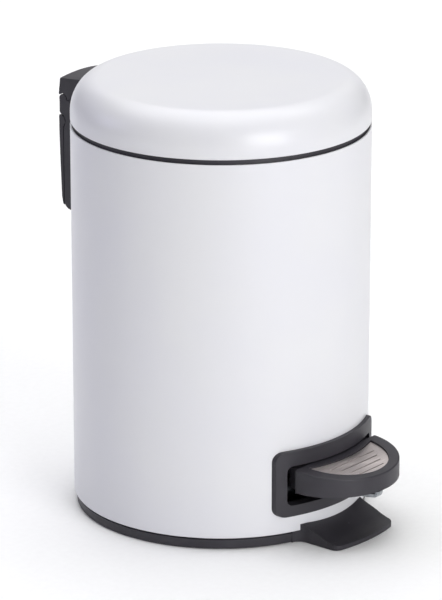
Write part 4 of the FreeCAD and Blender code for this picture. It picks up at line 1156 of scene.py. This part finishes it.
def build_bail():
    """The bucket's bail: a plated wire bent round the rim's front, with its ends turned in through the lugs."""
    piece = half_ring("bail", BAIL_WIRE_R, 90)
    outer = BAIL_RING_R + BAIL_WIRE_R
    gap, tip = 0.6, 1.6
    inner = BAIL_RING_R - BAIL_WIRE_R - gap - LUG_W - tip
    for x0, x1 in ((-outer, -inner), (inner, outer)):
        add_to(piece, cross_rod("end", BAIL_WIRE_R, x0, x1, BUCKET_Y, BAIL_AXIS.z, 20))
    soften(piece, 0.3, 3, 50.0)
    return finished(piece, "bail", finish(zinc_plated_steel), "bail", "zinc_steel", "bucket_bail")


def build_grip():
    """The moulded grip on the middle of the bail, flat below where it meets the rim."""
    wall = 0.8
    half_angle = 24
    piece = half_ring("grip", BAIL_WIRE_R + wall, half_angle, 40)
    slice_off(piece, (0, 0, BAIL_AXIS.z - BAIL_WIRE_R - 0.1), (0, 0, -1))
    soften(piece, 0.3, 2, 50.0)
    cut(piece, half_ring("wire_room", BAIL_WIRE_R + 0.02, half_angle + 3, 46))
    shade(piece)
    return moulded(piece, "grip", "bail", "bail_grip")


# --- inner works, left as the frame has them

WORKS = {
    moulded_polypropylene_black: ("rod_head", "rod_foot", "rod_guides"),
    moulded_rubber: ("lid_buffers",),
    closed_cell_eva_foam: ("anti_slip_disc",),
    zinc_plated_steel: (
        "lever_bush", "lever_axle", "axle_bracket", "bracket_rivets", "pedal_screws", "push_rod", "hinge_pin",
        "crank_arm", "crank_pin", "crank_rivet", "backing_plate", "housing_screws", "lid_screws", "handle_pins",
    ),
}


def finish_works():
    """Gives the inner works, whose shapes come from the frame, their finishes."""
    for maker, names in WORKS.items():
        for name in names:
            node = frame["nodes"][name]
            if not node.material_slots:
                node.data.materials.append(finish(maker))
            for held in node.material_slots:
                held.material = finish(maker)


# --- stage

CAMERA_AZIMUTH = -50.5
CAMERA_ELEVATION = 18.58
CAMERA_AWAY = 2.247
CAMERA_LENS = 238.7
CAMERA_TARGET = Vector((0, 0, 0.1183))


def aim(thing, place, target):
    """Sets a lamp or the camera at a place, so that it looks at a target."""
    thing.location = place
    thing.rotation_euler = (Vector(target) - Vector(place)).to_track_quat("-Z", "Y").to_euler()


def soft_light(name, place, target, size, power, tone="#ffffff"):
    """A square soft box that faces its target."""
    bpy.ops.object.light_add(type="AREA")
    lamp = bpy.context.object
    lamp.name = name
    lamp.data.size = size
    lamp.data.energy = power
    lamp.data.color = linear(tone)[:3]
    aim(lamp, place, target)
    return lamp


def build_stage():
    """A pale floor, a soft studio and the camera."""
    bpy.ops.object.select_all(action="DESELECT")
    bpy.ops.mesh.primitive_plane_add(size=14.0)
    floor = bpy.context.object
    floor.name = "floor"
    material, tree, shader, where = new_finish("matt_paper_backdrop", Roughness=0.9, Specular_IOR_Level=0.1)
    fibre = add_node(tree, "ShaderNodeTexNoise", {"Vector": where, "Scale": size_to_scale(4.0), "Detail": 2.0})
    tones = add_node(
        tree, "ShaderNodeValToRGB", {"Fac": fibre.outputs["Fac"]},
        [(0.35, linear("#fbfbfb")), (0.65, linear("#fdfdfd"))],
    )
    drive(tree, shader, tones)
    floor.data.materials.append(material)

    middle = Vector((0, 0, (SHELL_LOW.z + LID_HIGH.z) / 2 * MM))
    soft_light("overhead", (0.2, 0.4, 2.6), (0.2, 0.4, 0.0), 4.0, 58.0)
    soft_light("top", (0.3, 0.5, 2.2), (0.3, 0.5, 0.0), 2.4, 27.0)
    soft_light("key", (-0.7, -2.4, 0.75), middle, 1.4, 42.5)
    soft_light("rim", (-1.3, 1.9, 0.8), middle, 0.8, 6.0, "#d2d0ff")
    soft_light("backdrop", (1.25, 1.05, 0.7), middle, 1.6, 5.0)

    world = bpy.data.worlds.new("studio")
    bpy.context.scene.world = world
    world.use_nodes = True
    world.node_tree.nodes["Background"].inputs["Color"].default_value = linear("#e4e9ff")
    world.node_tree.nodes["Background"].inputs["Strength"].default_value = 0.02

    bpy.ops.object.camera_add()
    camera = bpy.context.object
    camera.name = "camera"
    camera.data.lens = CAMERA_LENS
    camera.data.sensor_width = 36.0
    camera.data.clip_end = 50.0
    turn, rise = math.radians(CAMERA_AZIMUTH), math.radians(CAMERA_ELEVATION)
    back = Vector((math.sin(turn) * math.cos(rise), -math.cos(turn) * math.cos(rise), math.sin(rise)))
    aim(camera, CAMERA_TARGET + back * CAMERA_AWAY, CAMERA_TARGET)
    bpy.context.scene.camera = camera
    bpy.context.scene.view_settings.view_transform = "Standard"


# --- operators and panel

class PieceOperator:
    """What every operator of this add-on shares."""

    bl_options = {"REGISTER", "UNDO"}
    build = None

    def execute(self, context):
        type(self).build()
        return {"FINISHED"}


class BIN_OT_steel_body(PieceOperator, bpy.types.Operator):
    """Model the powder coated tube"""

    bl_idname = "pedal_bin.steel_body"
    bl_label = "Steel body"
    build = build_steel_body


class BIN_OT_steel_lid(PieceOperator, bpy.types.Operator):
    """Model the domed lid"""

    bl_idname = "pedal_bin.steel_lid"
    bl_label = "Steel lid"
    build = build_steel_lid


class BIN_OT_lid_lining(PieceOperator, bpy.types.Operator):
    """Model the lining inside the lid"""

    bl_idname = "pedal_bin.lid_lining"
    bl_label = "Lid lining"
    build = build_lid_lining


class BIN_OT_collar(PieceOperator, bpy.types.Operator):
    """Model the collar at the tube's top"""

    bl_idname = "pedal_bin.collar"
    bl_label = "Collar"
    build = build_collar


class BIN_OT_base(PieceOperator, bpy.types.Operator):
    """Model the base tray"""

    bl_idname = "pedal_bin.base"
    bl_label = "Base"
    build = build_base


class BIN_OT_foot(PieceOperator, bpy.types.Operator):
    """Model the foot that keeps the bin from tipping"""

    bl_idname = "pedal_bin.foot"
    bl_label = "Foot"
    build = build_foot


class BIN_OT_bezel(PieceOperator, bpy.types.Operator):
    """Model the frame round the pedal's window"""

    bl_idname = "pedal_bin.bezel"
    bl_label = "Bezel"
    build = build_bezel


class BIN_OT_pedal(PieceOperator, bpy.types.Operator):
    """Model the pedal"""

    bl_idname = "pedal_bin.pedal"
    bl_label = "Pedal"
    build = build_pedal


class BIN_OT_tread_plate(PieceOperator, bpy.types.Operator):
    """Model the pedal's brushed inlay"""

    bl_idname = "pedal_bin.tread_plate"
    bl_label = "Tread plate"
    build = build_tread_plate


class BIN_OT_lever(PieceOperator, bpy.types.Operator):
    """Model the pedal's lever"""

    bl_idname = "pedal_bin.lever"
    bl_label = "Lever"
    build = build_lever


class BIN_OT_housing(PieceOperator, bpy.types.Operator):
    """Model the hinge housing"""

    bl_idname = "pedal_bin.housing"
    bl_label = "Housing"
    build = build_housing


class BIN_OT_cap(PieceOperator, bpy.types.Operator):
    """Model the hinge cap"""

    bl_idname = "pedal_bin.cap"
    bl_label = "Hinge cap"
    build = build_cap


class BIN_OT_handle(PieceOperator, bpy.types.Operator):
    """Model the carry handle"""

    bl_idname = "pedal_bin.handle"
    bl_label = "Handle"
    build = build_handle


class BIN_OT_bucket(PieceOperator, bpy.types.Operator):
    """Model the lift-out bucket"""

    bl_idname = "pedal_bin.bucket"
    bl_label = "Bucket"
    build = build_bucket


class BIN_OT_bail(PieceOperator, bpy.types.Operator):
    """Model the bucket's wire bail"""

    bl_idname = "pedal_bin.bail"
    bl_label = "Bail"
    build = build_bail


class BIN_OT_grip(PieceOperator, bpy.types.Operator):
    """Model the grip on the bail"""

    bl_idname = "pedal_bin.grip"
    bl_label = "Grip"
    build = build_grip


class BIN_OT_works(PieceOperator, bpy.types.Operator):
    """Give the inner works their finishes"""

    bl_idname = "pedal_bin.works"
    bl_label = "Inner works"
    build = finish_works


class BIN_OT_stage(PieceOperator, bpy.types.Operator):
    """Set up the floor, the lights and the camera"""

    bl_idname = "pedal_bin.stage"
    bl_label = "Stage"
    build = build_stage


OPERATORS = (
    BIN_OT_steel_body, BIN_OT_steel_lid, BIN_OT_lid_lining, BIN_OT_collar, BIN_OT_base, BIN_OT_foot, BIN_OT_bezel,
    BIN_OT_pedal, BIN_OT_tread_plate, BIN_OT_lever, BIN_OT_housing, BIN_OT_cap, BIN_OT_handle, BIN_OT_bucket,
    BIN_OT_bail, BIN_OT_grip, BIN_OT_works, BIN_OT_stage,
)


class BIN_PT_panel(bpy.types.Panel):
    """Lists the bin's pieces and what can be changed on them"""

    bl_label = "Pedal bin"
    bl_space_type = "VIEW_3D"
    bl_region_type = "UI"
    bl_category = "Pedal bin"

    def draw(self, context):
        column = self.layout.column(align=True)
        for key in PedalBinLook.__annotations__:
            column.prop(context.scene.pedal_bin, key)
        for operator in OPERATORS:
            column.operator(operator.bl_idname)


CLASSES = (PedalBinLook,) + OPERATORS + (BIN_PT_panel,)


def register():
    for entry in CLASSES:
        bpy.utils.register_class(entry)
    bpy.types.Scene.pedal_bin = bpy.props.PointerProperty(type=PedalBinLook)


def unregister():
    del bpy.types.Scene.pedal_bin
    for entry in reversed(CLASSES):
        bpy.utils.unregister_class(entry)


def main():
    """Builds every piece in order."""
    register()
    bpy.ops.object.select_all(action="DESELECT")
    for operator in OPERATORS:
        group, name = operator.bl_idname.split(".")
        getattr(getattr(bpy.ops, group), name)()


if __name__ == "__main__":
    main()
